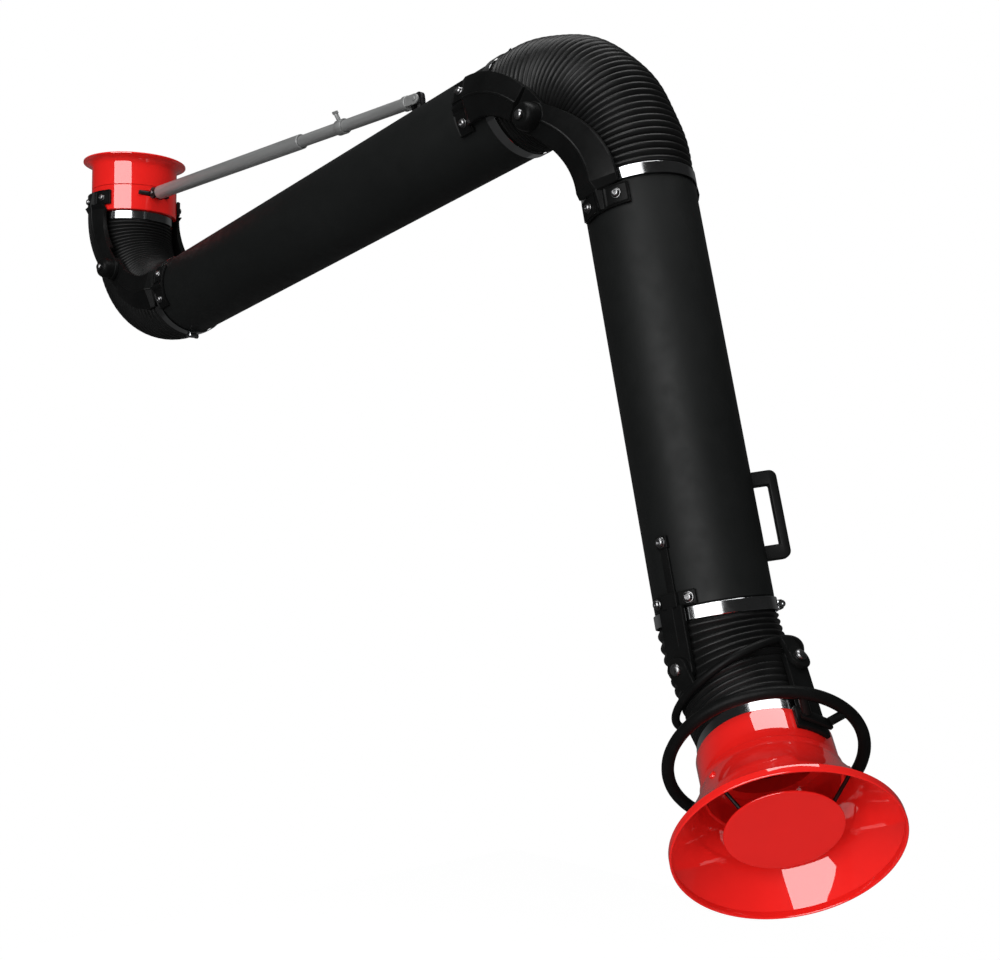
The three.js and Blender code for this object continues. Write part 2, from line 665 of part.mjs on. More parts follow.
// Collar: bolt holes for its arms and the slot that takes the strut lug
const collarHoles = pairHoles(HINGE_REACH)
  .map((hole) => atPivot(hole.translate(0, 0, PIVOT_OFFSET), basePivot, PLUS_Z, MINUS_X));
const slotHalfWidth = LUG_TONGUE_WIDTH / 2 + LUG_SLOT_CLEARANCE;
const slotHalfHeight = LUG_TONGUE_HEIGHT / 2 + LUG_SLOT_CLEARANCE;
const lugSlot = block(0, 2 * COLLAR_RADIUS, -slotHalfWidth, slotHalfWidth,
  -STRUT_FOOT_DROP - slotHalfHeight, -STRUT_FOOT_DROP + slotHalfHeight);
addMesh(swivel, 'swivel_collar',
  cut(collarBody, ...collarHoles, ...collarHoles.map(mirrored),
    common(lugSlot, pipe(2 * COLLAR_RADIUS, SLEEVE_RADIUS, -COLLAR_BOTTOM, -COLLAR_SEAM))), redGloss);

// Ducts with drawn-in ends, built along X and bored for the bolts of their feet
function ductTube(from, to, holes) {
  const bore = DUCT_RADIUS - TUBE_WALL;
  const profile = [
    [SPIGOT_RADIUS, from - SPIGOT_LENGTH],
    [SPIGOT_RADIUS, from],
    [DUCT_RADIUS, from],
    [DUCT_RADIUS, to],
    [SPIGOT_RADIUS, to],
    [SPIGOT_RADIUS, to + SPIGOT_LENGTH],
    [spigotBore, to + SPIGOT_LENGTH],
    [spigotBore, to - TUBE_WALL],
    [bore, to - TUBE_WALL],
    [bore, from + TUBE_WALL],
    [spigotBore, from + TUBE_WALL],
    [spigotBore, from - SPIGOT_LENGTH],
  ];
  return cut(alongX(turned(profile)), ...holes);
}

const lowerFrom = BASE_BAND_REACH + CUFF / 2;
const lowerTo = LOWER_ARM_SPAN - ELBOW_LOWER_BAND_REACH - CUFF / 2;
const lowerHoles = [...pairHoles(HINGE_REACH), ...pairHoles(LOWER_ARM_SPAN - HINGE_REACH)];
addMesh(lowerArm, 'lower_tube', ductTube(lowerFrom, lowerTo,
  [...lowerHoles, ...lowerHoles.map(mirrored)]).translate(0, 0, -PIVOT_OFFSET), blackPaint);

const upperFrom = ELBOW_UPPER_BAND_REACH + CUFF / 2;
const upperTo = FOREARM_SPAN - HOOD_BAND_REACH - CUFF / 2;
const hoodFoot = FOREARM_SPAN - HOOD_FOOT_RISE;
const tailFoot = FOREARM_SPAN - TAIL_RISE;
const upperHoles = [...pairHoles(HINGE_REACH), ...pairHoles(hoodFoot), radialHole(0, tailFoot)];
// The forearm hangs along -Z: X of a duct's own frame becomes -Z
function hanging(geometry) {
  return geometry.clone().rotateY(Math.PI / 2).translate(PIVOT_OFFSET, 0, 0);
}
addMesh(forearm, 'forearm_tube', hanging(ductTube(upperFrom, upperTo,
  [...upperHoles, ...upperHoles.map(mirrored)])), blackPaint);

// Clamp bands along X, with a worm screw housing turned round the duct
function clampBand(screwAngle) {
  const outer = BAND_BORE + BAND_THICKNESS;
  const half = BAND_WIDTH / 2;
  const band = alongX(pipe(outer, BAND_BORE, -half, half, BAND_ROUND));
  const top = outer + BAND_HOUSING_HEIGHT;
  const housing = block(-half + BAND_HOUSING_INSET, half - BAND_HOUSING_INSET, -half, half,
    BAND_BORE + BAND_THICKNESS / 2, top - BAND_HOUSING_INSET);
  const screw = bar(new THREE.Vector3(0, -BAND_SCREW_LENGTH / 2, top - BAND_SCREW_RADIUS),
    new THREE.Vector3(0, BAND_SCREW_LENGTH / 2, top - BAND_SCREW_RADIUS), BAND_SCREW_RADIUS);
  return join(band, housing, screw).rotateX(rad(screwAngle));
}

const collarBand = clampBand(0).rotateY(Math.PI / 2).translate(0, 0, -COLLAR_BOTTOM - CUFF / 2);
addMesh(swivel, 'base_clamp_upper', collarBand.rotateZ(Math.PI), brightSteel);
addMesh(lowerArm, 'base_clamp_lower', clampBand(BASE_SCREW_ANGLE)
  .translate(BASE_BAND_REACH, 0, -PIVOT_OFFSET), brightSteel);
addMesh(lowerArm, 'elbow_clamp_lower', clampBand(0)
  .translate(LOWER_ARM_SPAN - ELBOW_LOWER_BAND_REACH, 0, -PIVOT_OFFSET), brightSteel);
addMesh(forearm, 'elbow_clamp_upper', hanging(clampBand(ELBOW_UPPER_SCREW_ANGLE)
  .translate(ELBOW_UPPER_BAND_REACH, 0, 0)), brightSteel);
addMesh(forearm, 'hood_clamp_upper', hanging(clampBand(HOOD_UPPER_SCREW_ANGLE)
  .translate(FOREARM_SPAN - HOOD_BAND_REACH, 0, 0)), brightSteel);
addMesh(hood, 'hood_clamp_lower', clampBand(HOOD_LOWER_SCREW_ANGLE).rotateY(Math.PI / 2)
  .translate(0, 0, -NECK_TOP + CUFF / 2), brightSteel);

// Ribbed hose from one cuff to another: straight in the cuffs, a smooth bend between them
function ribbedHose(start, startDirection, end, endDirection, ribs, bulge) {
  const bendStart = start.clone().addScaledVector(startDirection, CUFF);
  const bendEnd = end.clone().addScaledVector(endDirection, -CUFF);
  const turn = startDirection.angleTo(endDirection);
  const chord = bendStart.distanceTo(bendEnd);
  const handle = bulge * chord * (4 / 3) * Math.tan(turn / 4) / (2 * Math.sin(turn / 2));
  const bend = new THREE.CubicBezierCurve3(
    bendStart,
    bendStart.clone().addScaledVector(startDirection, handle),
    bendEnd.clone().addScaledVector(endDirection, -handle),
    bendEnd);
  const across = new THREE.Vector3(0, 1, 0);
  const points = [];
  function ring(centre, tangent, radius) {
    const side = across.clone().addScaledVector(tangent, -across.dot(tangent)).normalize();
    const other = tangent.clone().cross(side);
    const first = points.length;
    for (let i = 0; i < HOSE_SIDES; i += 1) {
      const angle = ((i + 0.5) / HOSE_SIDES) * 2 * Math.PI;
      points.push(centre.clone()
        .addScaledVector(side, radius * Math.cos(angle))
        .addScaledVector(other, radius * Math.sin(angle)));
    }
    return first;
  }
  function bendRing(share, radius) {
    return ring(bend.getPointAt(share), bend.getTangentAt(share), radius);
  }
  const outer = [ring(start, startDirection, HOSE_VALLEY), bendRing(0, HOSE_VALLEY)];
  const inner = [ring(start, startDirection, HOSE_BORE), bendRing(0, HOSE_BORE)];
  for (let i = 0; i < ribs; i += 1) {
    outer.push(bendRing((i + RIB_CREST_SHARE) / ribs, HOSE_CREST));
    outer.push(bendRing((i + RIB_VALLEY_SHARE) / ribs, HOSE_VALLEY));
    if (i % RIBS_PER_BORE_RING === RIBS_PER_BORE_RING - 1 && i < ribs - 1) {
      inner.push(bendRing((i + RIB_VALLEY_SHARE) / ribs, HOSE_BORE));
    }
  }
  outer.push(bendRing(1, HOSE_VALLEY), ring(end, endDirection, HOSE_VALLEY));
  inner.push(bendRing(1, HOSE_BORE), ring(end, endDirection, HOSE_BORE));
  const skin = [...outer, ...inner.reverse(), outer[0]];
  const faces = [];
  for (let i = 0; i + 1 < skin.length; i += 1) {
    for (let k = 0; k < HOSE_SIDES; k += 1) {
      const next = (k + 1) % HOSE_SIDES;
      faces.push(skin[i] + k, skin[i] + next, skin[i + 1] + next);
      faces.push(skin[i] + k, skin[i + 1] + next, skin[i + 1] + k);
    }
  }
  const geometry = new THREE.BufferGeometry().setFromPoints(points);
  geometry.setIndex(faces);
  return geometry;
}

function carried(point, ...matrices) {
  return matrices.reduceRight((p, matrix) => p.applyMatrix4(matrix), point.clone());
}

function pointed(direction, ...matrices) {
  return matrices.reduceRight((d, matrix) => d.transformDirection(matrix), direction.clone());
}

addMesh(swivel, 'base_hose', ribbedHose(
  new THREE.Vector3(0, 0, -COLLAR_BOTTOM - FIT), MINUS_Z,
  carried(new THREE.Vector3(lowerFrom - FIT, 0, -PIVOT_OFFSET), lowerArm.matrix),
  pointed(PLUS_X, lowerArm.matrix), BASE_HOSE_RIBS, BASE_HOSE_BULGE), blackHose);

addMesh(lowerArm, 'elbow_hose', ribbedHose(
  new THREE.Vector3(lowerTo + FIT, 0, -PIVOT_OFFSET), PLUS_X,
  carried(new THREE.Vector3(PIVOT_OFFSET, 0, FIT - upperFrom), forearm.matrix),
  pointed(MINUS_Z, forearm.matrix), ELBOW_HOSE_RIBS, ELBOW_HOSE_BULGE), blackHose);

addMesh(forearm, 'hood_hose', ribbedHose(
  new THREE.Vector3(PIVOT_OFFSET, 0, -upperTo - FIT), MINUS_Z,
  carried(new THREE.Vector3(0, 0, FIT - NECK_TOP), gimbal.matrix, hood.matrix),
  pointed(MINUS_Z, gimbal.matrix, hood.matrix), HOOD_HOSE_RIBS, HOOD_HOSE_BULGE), blackHose);

// Hood brackets: a flat plate from the forearm's end to the tilt axis, with a tail strap up the duct
function hoodBracket() {
  const half = BRACKET_WIDTH / 2;
  const clear = hoodFoot + BOLT_HEAD_RADIUS + RUNNING_FIT;
  const plate = block(clear, FOREARM_SPAN, -BRACKET_OUTER, -ARM_INNER, -half, half);
  const tongue = block(hoodFoot - HOOD_FOOT_BACK, clear, -BRACKET_OUTER, -ARM_INNER,
    -ARM_TONGUE_HALF, ARM_TONGUE_HALF);
  const end = alongNear(rod(half, ARM_INNER, BRACKET_OUTER, EYE_ROUND)).translate(FOREARM_SPAN, 0, 0);
  const saddle = DUCT_RADIUS + FIT;
  const deep = DUCT_RADIUS - FOOT_THICKNESS;
  const foot = shellPatch(saddle + FOOT_THICKNESS, deep,
    hoodFoot - HOOD_FOOT_BACK, hoodFoot + HOOD_FOOT_FRONT, HOOD_FOOT_ANGLE);
  const tailAngle = THREE.MathUtils.radToDeg(Math.asin(TAIL_WIDTH / 2 / DUCT_RADIUS));
  const padAngle = THREE.MathUtils.radToDeg(Math.asin(TAIL_PAD / 2 / DUCT_RADIUS));
  const tail = shellPatch(saddle + TAIL_THICKNESS, deep, tailFoot, hoodFoot, tailAngle);
  const pad = shellPatch(saddle + FOOT_THICKNESS, deep,
    tailFoot - TAIL_PAD / 2, tailFoot + TAIL_PAD / 2, padAngle);
  const seat = alongX(rod(saddle / Math.cos(Math.PI / ROUND), tailFoot - TAIL_PAD, FOREARM_SPAN, ROUND));
  const pinHole = alongNear(rod(GIMBAL_HOLE, 0, 2 * DUCT_RADIUS))
    .translate(FOREARM_SPAN, 0, 0);
  return cut(join(plate, tongue, end, foot, tail, pad), seat, pinHole,
    ...pairHoles(hoodFoot), radialHole(0, tailFoot));
}

function hoodBracketBolts() {
  const seat = DUCT_RADIUS + FIT + FOOT_THICKNESS + FIT;
  const strip = tubeBore - FIT;
  const stripFrom = tailFoot - NUT_STRIP_WIDTH / 2;
  const stripAngle = THREE.MathUtils.radToDeg(Math.asin(NUT_STRIP_WIDTH / 2 / strip));
  return join(
    boltPair(DUCT_RADIUS, tubeBore, FOOT_THICKNESS).translate(hoodFoot, 0, 0),
    shellPatch(strip, strip - NUT_STRIP_THICKNESS, stripFrom, hoodFoot, stripAngle),
    radialBolt(seat, strip - NUT_STRIP_THICKNESS / 2, 0, tailFoot));
}

addPair(forearm, 'hood_bracket', hanging(hoodBracket()), blackMoulding);
addPair(forearm, 'hood_bracket_bolts', hanging(hoodBracketBolts()), boltSteel);

// Gimbal: a round bar hoop with ears on the tilt axis and lobes on the side axis
const earInner = BRACKET_OUTER + RUNNING_FIT;
const lobeInner = PLATE_OUTER + RUNNING_FIT;
const hoopLevel = -GIMBAL_DROP / 2;

function hoop(radius, barRadius) {
  return new THREE.TorusGeometry(radius, barRadius, BAR_SIDES, HOOP_STEPS);
}

// A tapered tab from an eye at the origin down to a foot on the hoop, facing -Y
function tab(eyeRadius, inner, drop) {
  const foot = EAR_FOOT_WIDTH / 2;
  const shape = new THREE.Shape([
    new THREE.Vector2(-eyeRadius, 0),
    new THREE.Vector2(-foot, -drop),
    new THREE.Vector2(foot, -drop),
    new THREE.Vector2(eyeRadius, 0),
  ]);
  const wedge = new THREE.ExtrudeGeometry(shape, { depth: EAR_THICKNESS, bevelEnabled: false, steps: 1 })
    .rotateX(Math.PI / 2).translate(0, -inner, 0);
  return join(wedge, alongNear(rod(eyeRadius, inner, inner + EAR_THICKNESS, EYE_ROUND)));
}

function gimbalRing() {
  const ear = tab(EAR_RADIUS, earInner, -hoopLevel);
  const lobe = tab(LOBE_RADIUS, lobeInner, GIMBAL_DROP + hoopLevel)
    .rotateX(Math.PI).rotateZ(-Math.PI / 2).translate(0, 0, -GIMBAL_DROP);
  const tiltHole = alongNear(rod(GIMBAL_HOLE, -2 * GIMBAL_RADIUS, 2 * GIMBAL_RADIUS));
  const sideHole = alongX(rod(GIMBAL_HOLE, -2 * GIMBAL_RADIUS, 2 * GIMBAL_RADIUS))
    .translate(0, 0, -GIMBAL_DROP);
  const body = join(
    hoop(GIMBAL_RADIUS, GIMBAL_BAR).translate(0, 0, hoopLevel),
    ear, mirrored(ear), lobe, lobe.clone().rotateZ(Math.PI));
  return cut(body, tiltHole, sideHole);
}

function gimbalPin(inner, outer) {
  const head = outer + FIT;
  const crown = head + GIMBAL_HEAD_HEIGHT;
  const nut = inner - FIT;
  return alongNear(turned([
    [0, nut - GIMBAL_NUT_HEIGHT],
    [GIMBAL_HEAD_RADIUS, nut - GIMBAL_NUT_HEIGHT],
    [GIMBAL_HEAD_RADIUS, nut],
    [GIMBAL_PIN_RADIUS, nut],
    [GIMBAL_PIN_RADIUS, head],
    [GIMBAL_HEAD_RADIUS, head],
    [GIMBAL_HEAD_RADIUS, crown - GIMBAL_HEAD_HEIGHT / 2],
    [GIMBAL_HEAD_RADIUS / 2, crown],
    [0, crown],
  ], SMALL_ROUND));
}

addMesh(gimbal, 'gimbal_ring', gimbalRing(), blackMoulding);
addPair(gimbal, 'tilt_pivot', gimbalPin(ARM_INNER, earInner + EAR_THICKNESS), boltSteel);
const sidePin = gimbalPin(PLATE_INNER, lobeInner + EAR_THICKNESS).rotateZ(Math.PI / 2);
addMesh(gimbal, 'side_pivot_front', sidePin.clone().translate(0, 0, -GIMBAL_DROP), boltSteel);
addMesh(gimbal, 'side_pivot_back',
  sidePin.clone().rotateZ(Math.PI).translate(0, 0, -GIMBAL_DROP), boltSteel);

// Hood shell: spigot, neck, step ring, flare and lip
const flareTop = NECK_BOTTOM + STEP_HEIGHT;
const flareHeight = HOOD_RIM_DEPTH - HOOD_LIP_HEIGHT - flareTop;
const flareSpread = HOOD_RIM_RADIUS - STEP_RADIUS;
function flareWall(offset) {
  const points = [];
  for (let i = 0; i <= FLARE_STEPS; i += 1) {
    const share = i / FLARE_STEPS;
    const radius = STEP_RADIUS + flareSpread * share - FLARE_BOW * 4 * share * (1 - share);
    points.push([radius - offset, -flareTop - flareHeight * share]);
  }
  points.push([HOOD_RIM_RADIUS - offset, -HOOD_RIM_DEPTH]);
  return points;
}

const hoodInside = [
  [NECK_RADIUS - HOOD_WALL, -NECK_TOP - HOOD_WALL],
  [NECK_RADIUS - HOOD_WALL, -flareTop],
  ...flareWall(HOOD_WALL),
];
addMesh(hood, 'hood_shell', turned([
  [SPIGOT_RADIUS, -NECK_TOP + SPIGOT_LENGTH],
  [SPIGOT_RADIUS, -NECK_TOP],
  [NECK_RADIUS, -NECK_TOP],
  [NECK_RADIUS, -NECK_BOTTOM],
  [STEP_RADIUS, -NECK_BOTTOM - STEP_HEIGHT / 4],
  ...flareWall(0),
  ...hoodInside.slice().reverse(),
  [spigotBore, -NECK_TOP - HOOD_WALL],
  [spigotBore, -NECK_TOP + SPIGOT_LENGTH],
], HOOD_ROUND), redGloss);

// Hood plates on the side axis, seated on the neck
function hoodPlate() {
  const half = PLATE_WIDTH / 2;
  const footBottom = -NECK_TOP - PLATE_FOOT_DEPTH;
  const plate = block(PLATE_INNER, PLATE_OUTER, -half, half, footBottom, 0);
  const end = alongX(rod(half, PLATE_INNER, PLATE_OUTER, EYE_ROUND));
  const wide = PLATE_FOOT_WIDTH / 2;
  const foot = common(
    pipe(PLATE_INNER + FOOT_THICKNESS, PLATE_INNER - FOOT_THICKNESS, footBottom, -NECK_TOP),
    block(0, 2 * NECK_RADIUS, -wide, wide, footBottom - OVERRUN, OVERRUN - NECK_TOP));
  const neck = rod(PLATE_INNER / Math.cos(Math.PI / ROUND), footBottom - OVERRUN, OVERRUN - NECK_TOP, ROUND);
  const pinHole = alongX(rod(GIMBAL_HOLE, 0, 2 * NECK_RADIUS));
  return cut(join(plate, end, foot), neck, pinHole);
}

addMesh(hood, 'hood_plate_front', hoodPlate(), blackMoulding);
addMesh(hood, 'hood_plate_back', hoodPlate().rotateZ(Math.PI), blackMoulding);

// Ring handle: a hoop on four spokes from two yokes on the plates
function ringHandle() {
  const yokeInner = PLATE_OUTER + FIT;
  const yokeOuter = yokeInner + YOKE_THICKNESS;
  const yoke = block(yokeInner, yokeOuter, -YOKE_WIDTH / 2, YOKE_WIDTH / 2,
    -YOKE_DEPTH - YOKE_HEIGHT / 2, -YOKE_DEPTH + YOKE_HEIGHT / 2);
  const pieces = [hoop(RING_HANDLE_RADIUS, RING_HANDLE_BAR).translate(0, 0, -RING_HANDLE_DEPTH)];
  for (const turn of [0, Math.PI]) {
    pieces.push(yoke.clone().rotateZ(turn));
    for (const side of [-1, 1]) {
      const angle = side * rad(SPOKE_SPREAD);
      const from = new THREE.Vector3(
        yokeInner + SPOKE_BAR, side * (YOKE_WIDTH / 2 - SPOKE_BAR), -YOKE_DEPTH);
      const to = new THREE.Vector3(
        RING_HANDLE_RADIUS * Math.cos(angle), RING_HANDLE_RADIUS * Math.sin(angle), -RING_HANDLE_DEPTH);
      pieces.push(bar(from, to, SPOKE_BAR).rotateZ(turn));
    }
  }
  return join(...pieces);
}

addMesh(hood, 'ring_handle', ringHandle(), blackMoulding);

// Deflector plate and the stay that carries it from the flare
const deflectorBack = DEFLECTOR_DEPTH - DEFLECTOR_THICKNESS / 2;
addMesh(hood, 'deflector_plate', rod(
  DEFLECTOR_RADIUS, -deflectorBack - DEFLECTOR_THICKNESS, -deflectorBack, ROUND), redGloss);

function deflectorStay() {
  const ringLevel = -deflectorBack + FIT;
  const ringTop = ringLevel + STAY_RING_THICKNESS;
  const pieces = [pipe(STAY_RING_OUTER, STAY_RING_INNER, ringLevel, ringTop, EYE_ROUND)];
  const reach = HOOD_RIM_RADIUS;
  const middle = (STAY_RING_OUTER + STAY_RING_INNER) / 2;
  const start = new THREE.Vector3(middle, 0, ringLevel + STAY_RING_THICKNESS / 2);
  const end = new THREE.Vector3(
    middle + reach * Math.cos(rad(STAY_SLOPE)), 0, start.z + reach * Math.sin(rad(STAY_SLOPE)));
  for (let i = 0; i < STAY_COUNT; i += 1) {
    pieces.push(bar(start, end, STAY_RADIUS).rotateZ(i * 2 * Math.PI / STAY_COUNT - Math.PI / 2));
  }
  const cavity = hoodInside.map(([r, z]) => [r - FIT, z]);
  const inside = turned([
    [0, -NECK_TOP - HOOD_WALL],
    ...cavity,
    [0, -HOOD_RIM_DEPTH],
  ], HOOD_ROUND);
  const above = block(-reach, reach, -reach, reach, ringLevel, 0);
  return common(common(join(...pieces), inside), above);
}

addMesh(hood, 'deflector_stay', deflectorStay(), darkSteel);

// Grip handle: a round bar bent to a D and seated on the forearm
function gripHandle() {
  const bottom = FOREARM_SPAN - GRIP_RISE;
  const top = bottom - GRIP_SPACING;
  const outer = DUCT_RADIUS + GRIP_REACH;
  const corner = outer - GRIP_CORNER;
  const half = GRIP_DEPTH / 2;
  const legHalf = GRIP_LEG / 2;
  const from = top - legHalf + GRIP_CORNER;
  const to = bottom + legHalf - GRIP_CORNER;
  const pieces = [block(from, to, -half, half, outer - GRIP_BAR, outer)];
  for (const leg of [top, bottom]) {
    pieces.push(block(leg - legHalf, leg + legHalf, -half, half, DUCT_RADIUS - GRIP_LEG, corner));
  }
  for (const along of [from, to]) {
    pieces.push(alongNear(rod(GRIP_CORNER, -half, half, EYE_ROUND)).translate(along, 0, corner));
  }
  const saddle = (DUCT_RADIUS + FIT) / Math.cos(Math.PI / ROUND);
  const duct = alongX(rod(saddle, top - GRIP_LEG, bottom + GRIP_LEG, ROUND));
  return cut(join(...pieces), duct).rotateX(-rad(GRIP_TURN));
}

addMesh(forearm, 'grip_handle', hanging(gripHandle()), blackMoulding);

// Balance strut between the collar and the top of the lower duct
const strutFoot = new THREE.Vector3(STRUT_FOOT_X, 0, -STRUT_FOOT_DROP);
const strutTop = carried(
  new THREE.Vector3(STRUT_TOP_REACH, 0, DUCT_RADIUS + STRUT_TOP_STAND_OFF - PIVOT_OFFSET), lowerArm.matrix);
const strutLine = new THREE.Vector3().subVectors(strutTop, strutFoot);
const strutLength = strutLine.length();
strut.position.copy(strutFoot);
strut.rotation.y = -Math.atan2(strutLine.z, strutLine.x);

function strutTube() {
  const end = STRUT_TUBE_START + STRUT_TUBE_LENGTH;
  const barrel = alongX(turned([
    [0, STRUT_TUBE_START],
    [STRUT_TUBE_RADIUS, STRUT_TUBE_START],
    [STRUT_TUBE_RADIUS, end],
    [STRUT_TUBE_BORE, end],
    [STRUT_TUBE_BORE, STRUT_TUBE_START + STRUT_END_WALL],
    [0, STRUT_TUBE_START + STRUT_END_WALL],
  ], EYE_ROUND));
  const half = STRUT_EYE_WIDTH / 2;
  const eye = alongNear(rod(STRUT_EYE_RADIUS, -half, half, EYE_ROUND));
  const neck = block(0, STRUT_TUBE_START + STRUT_END_WALL / 2, -half, half,
    -STRUT_EYE_RADIUS, STRUT_EYE_RADIUS);
  return cut(join(barrel, eye, neck), alongNear(rod(STRUT_HOLE, -half - OVERRUN, half + OVERRUN)));
}

const rodFrom = STRUT_TUBE_START + STRUT_TUBE_LENGTH - STRUT_ROD_OVERLAP;

// The rod ends in a fork with its pin, which straddles the upper lug
function strutRod() {
  const collarTo = strutLength - ROD_COLLAR_GAP;
  const forkInner = TOP_LUG_THICKNESS / 2 + RUNNING_FIT;
  const body = alongX(turned([
    [0, rodFrom + STRUT_ROD_BORE_DEPTH],
    [STRUT_ROD_BORE, rodFrom + STRUT_ROD_BORE_DEPTH],
    [STRUT_ROD_BORE, rodFrom],
    [STRUT_ROD_RADIUS, rodFrom],
    [STRUT_ROD_RADIUS, collarTo - ROD_COLLAR_LENGTH],
    [ROD_COLLAR_RADIUS, collarTo - ROD_COLLAR_LENGTH],
    [ROD_COLLAR_RADIUS, collarTo],
    [0, collarTo],
  ], EYE_ROUND));
  const pieces = [body];
  for (const side of [-1, 1]) {
    const y0 = Math.min(side * forkInner, side * FORK_OUTER);
    const y1 = Math.max(side * forkInner, side * FORK_OUTER);
    pieces.push(block(collarTo - FORK_ROOT, strutLength, y0, y1, -FORK_RADIUS, FORK_RADIUS));
    pieces.push(alongNear(rod(FORK_RADIUS, -y1, -y0, EYE_ROUND)).translate(strutLength, 0, 0));
  }
  const pinHalf = FORK_OUTER + FORK_PIN_END;
  pieces.push(alongNear(rod(STRUT_PIN_RADIUS, -pinHalf, pinHalf)).translate(strutLength, 0, 0));
  return join(...pieces);
}

function lockCollar() {
  const from = strutLength - LOCK_COLLAR_REACH;
  const to = from + LOCK_COLLAR_LENGTH;
  const bore = (STRUT_ROD_RADIUS + FIT) / Math.cos(Math.PI / EYE_ROUND);
  const ring = alongX(pipe(bore + LOCK_COLLAR_WALL, bore, from, to, EYE_ROUND));
  const middle = (from + to) / 2;
  const screwTop = bore + LOCK_SCREW_LENGTH;
  const screw = bar(new THREE.Vector3(middle, 0, bore + LOCK_COLLAR_WALL / 2),
    new THREE.Vector3(middle, 0, screwTop), LOCK_SCREW_RADIUS);
  const wing = block(middle - LOCK_SCREW_LENGTH / 2, middle + LOCK_SCREW_LENGTH / 2,
    -LOCK_WING_THICKNESS / 2, LOCK_WING_THICKNESS / 2, screwTop - LOCK_WING_ROOT, screwTop + LOCK_WING_RISE);
  return join(ring, screw, wing).rotateX(rad(LOCK_COLLAR_TURN));
}

addMesh(strut, 'strut_tube', strutTube(), strutAlloy);
addMesh(strut, 'strut_rod', strutRod(), strutAlloy);
addMesh(strut, 'strut_lock_collar', lockCollar(), strutAlloy);
addMesh(strut, 'balance_spring', alongX(pipe(SPRING_RADIUS, SPRING_BORE,
  STRUT_TUBE_START + STRUT_END_WALL + FIT, rodFrom - FIT, PIN_ROUND)), darkSteel);

// Lug on the collar: a tongue through the slot and two cheeks round the strut's eye
function strutLug() {
  const tongueFrom = collarBore - LUG_TONGUE_DEPTH;
  const inner = STRUT_EYE_WIDTH / 2 + RUNNING_FIT;
  const outer = inner + LUG_CHEEK_THICKNESS;
  const root = COLLAR_RADIUS + LUG_SLOT_CLEARANCE / 2;
  const lip = STRUT_FOOT_X - STRUT_EYE_RADIUS - RUNNING_FIT;
  const half = LUG_TONGUE_HEIGHT / 2;
  const tongue = block(tongueFrom, lip, -LUG_TONGUE_WIDTH / 2, LUG_TONGUE_WIDTH / 2, -half, half);
  const pieces = [tongue];
  for (const side of [-1, 1]) {
    const y0 = Math.min(side * inner, side * outer);
    const y1 = Math.max(side * inner, side * outer);
    pieces.push(block(lip - LUG_CHEEK_ROOT, STRUT_FOOT_X, y0, y1, -half, half));
    pieces.push(alongNear(rod(LUG_CHEEK_RADIUS, -y1, -y0, EYE_ROUND)).translate(STRUT_FOOT_X, 0, 0));
  }
  const pinHole = alongNear(rod(STRUT_HOLE, -LUG_TONGUE_WIDTH, LUG_TONGUE_WIDTH))
    .translate(STRUT_FOOT_X, 0, 0);
  const wall = pipe(root, SPIGOT_RADIUS, half, 3 * half);
  return cut(join(...pieces), pinHole, wall, wall.clone().translate(0, 0, -4 * half))
    .translate(0, 0, -STRUT_FOOT_DROP);
}

addMesh(swivel, 'strut_lug', strutLug(), darkSteel);
const lugPinHalf = STRUT_EYE_WIDTH / 2 + RUNNING_FIT + LUG_CHEEK_THICKNESS + LUG_PIN_END;
addMesh(swivel, 'strut_lug_pin', alongNear(rod(STRUT_PIN_RADIUS, -lugPinHalf, lugPinHalf))
  .translate(strutFoot.x, 0, strutFoot.z), boltSteel);

// Lug on the lower duct: a slotted plate on a saddle, open so the rod's pin has play
function strutTopLug() {
  const half = TOP_LUG_LENGTH / 2;
  const saddle = DUCT_RADIUS + FIT;
  const pin = DUCT_RADIUS + STRUT_TOP_STAND_OFF;
  const top = pin + TOP_SLOT_RISE + STRUT_PIN_RADIUS + TOP_LUG_WALL;
  const deep = DUCT_RADIUS / 2;
  const side = TOP_LUG_THICKNESS / 2;
  const round = half - TOP_LUG_CORNER;
  const plates = [
    block(-half, half, -side, side, deep, top - TOP_LUG_CORNER),
    block(-round, round, -side, side, deep, top),
  ];
  for (const end of [-round, round]) {
    const corner = alongNear(rod(TOP_LUG_CORNER, -side, side, EYE_ROUND));
    plates.push(corner.translate(end, 0, top - TOP_LUG_CORNER));
  }
  const base = common(
    alongX(pipe(saddle + TOP_LUG_BASE, deep, -half, half)),
    block(-half, half, -TOP_LUG_WIDTH / 2, TOP_LUG_WIDTH / 2, deep, top));
  const duct = alongX(rod(saddle / Math.cos(Math.PI / ROUND), -half - OVERRUN, half + OVERRUN, ROUND));
  const slot = block(-STRUT_PIN_RADIUS - TOP_SLOT_SIDE, STRUT_PIN_RADIUS + TOP_SLOT_SIDE,
    -TOP_LUG_THICKNESS, TOP_LUG_THICKNESS,
    pin - TOP_SLOT_DROP - STRUT_PIN_RADIUS, pin + TOP_SLOT_RISE + STRUT_PIN_RADIUS);
  return cut(join(base, ...plates), duct, slot).translate(STRUT_TOP_REACH, 0, -PIVOT_OFFSET);
}

addMesh(lowerArm, 'strut_top_lug', strutTopLug(), darkSteel);

arm.updateMatrixWorld(true);

export default arm;
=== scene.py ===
"""Fume extraction arm: finished pieces, materials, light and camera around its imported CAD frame.

Lengths are metres in the CAD frame: +Z up, the arm reaches along +X, and -Y is the near side.
"""

import json
import math

import bmesh
import bpy
from mathutils import Matrix, Vector


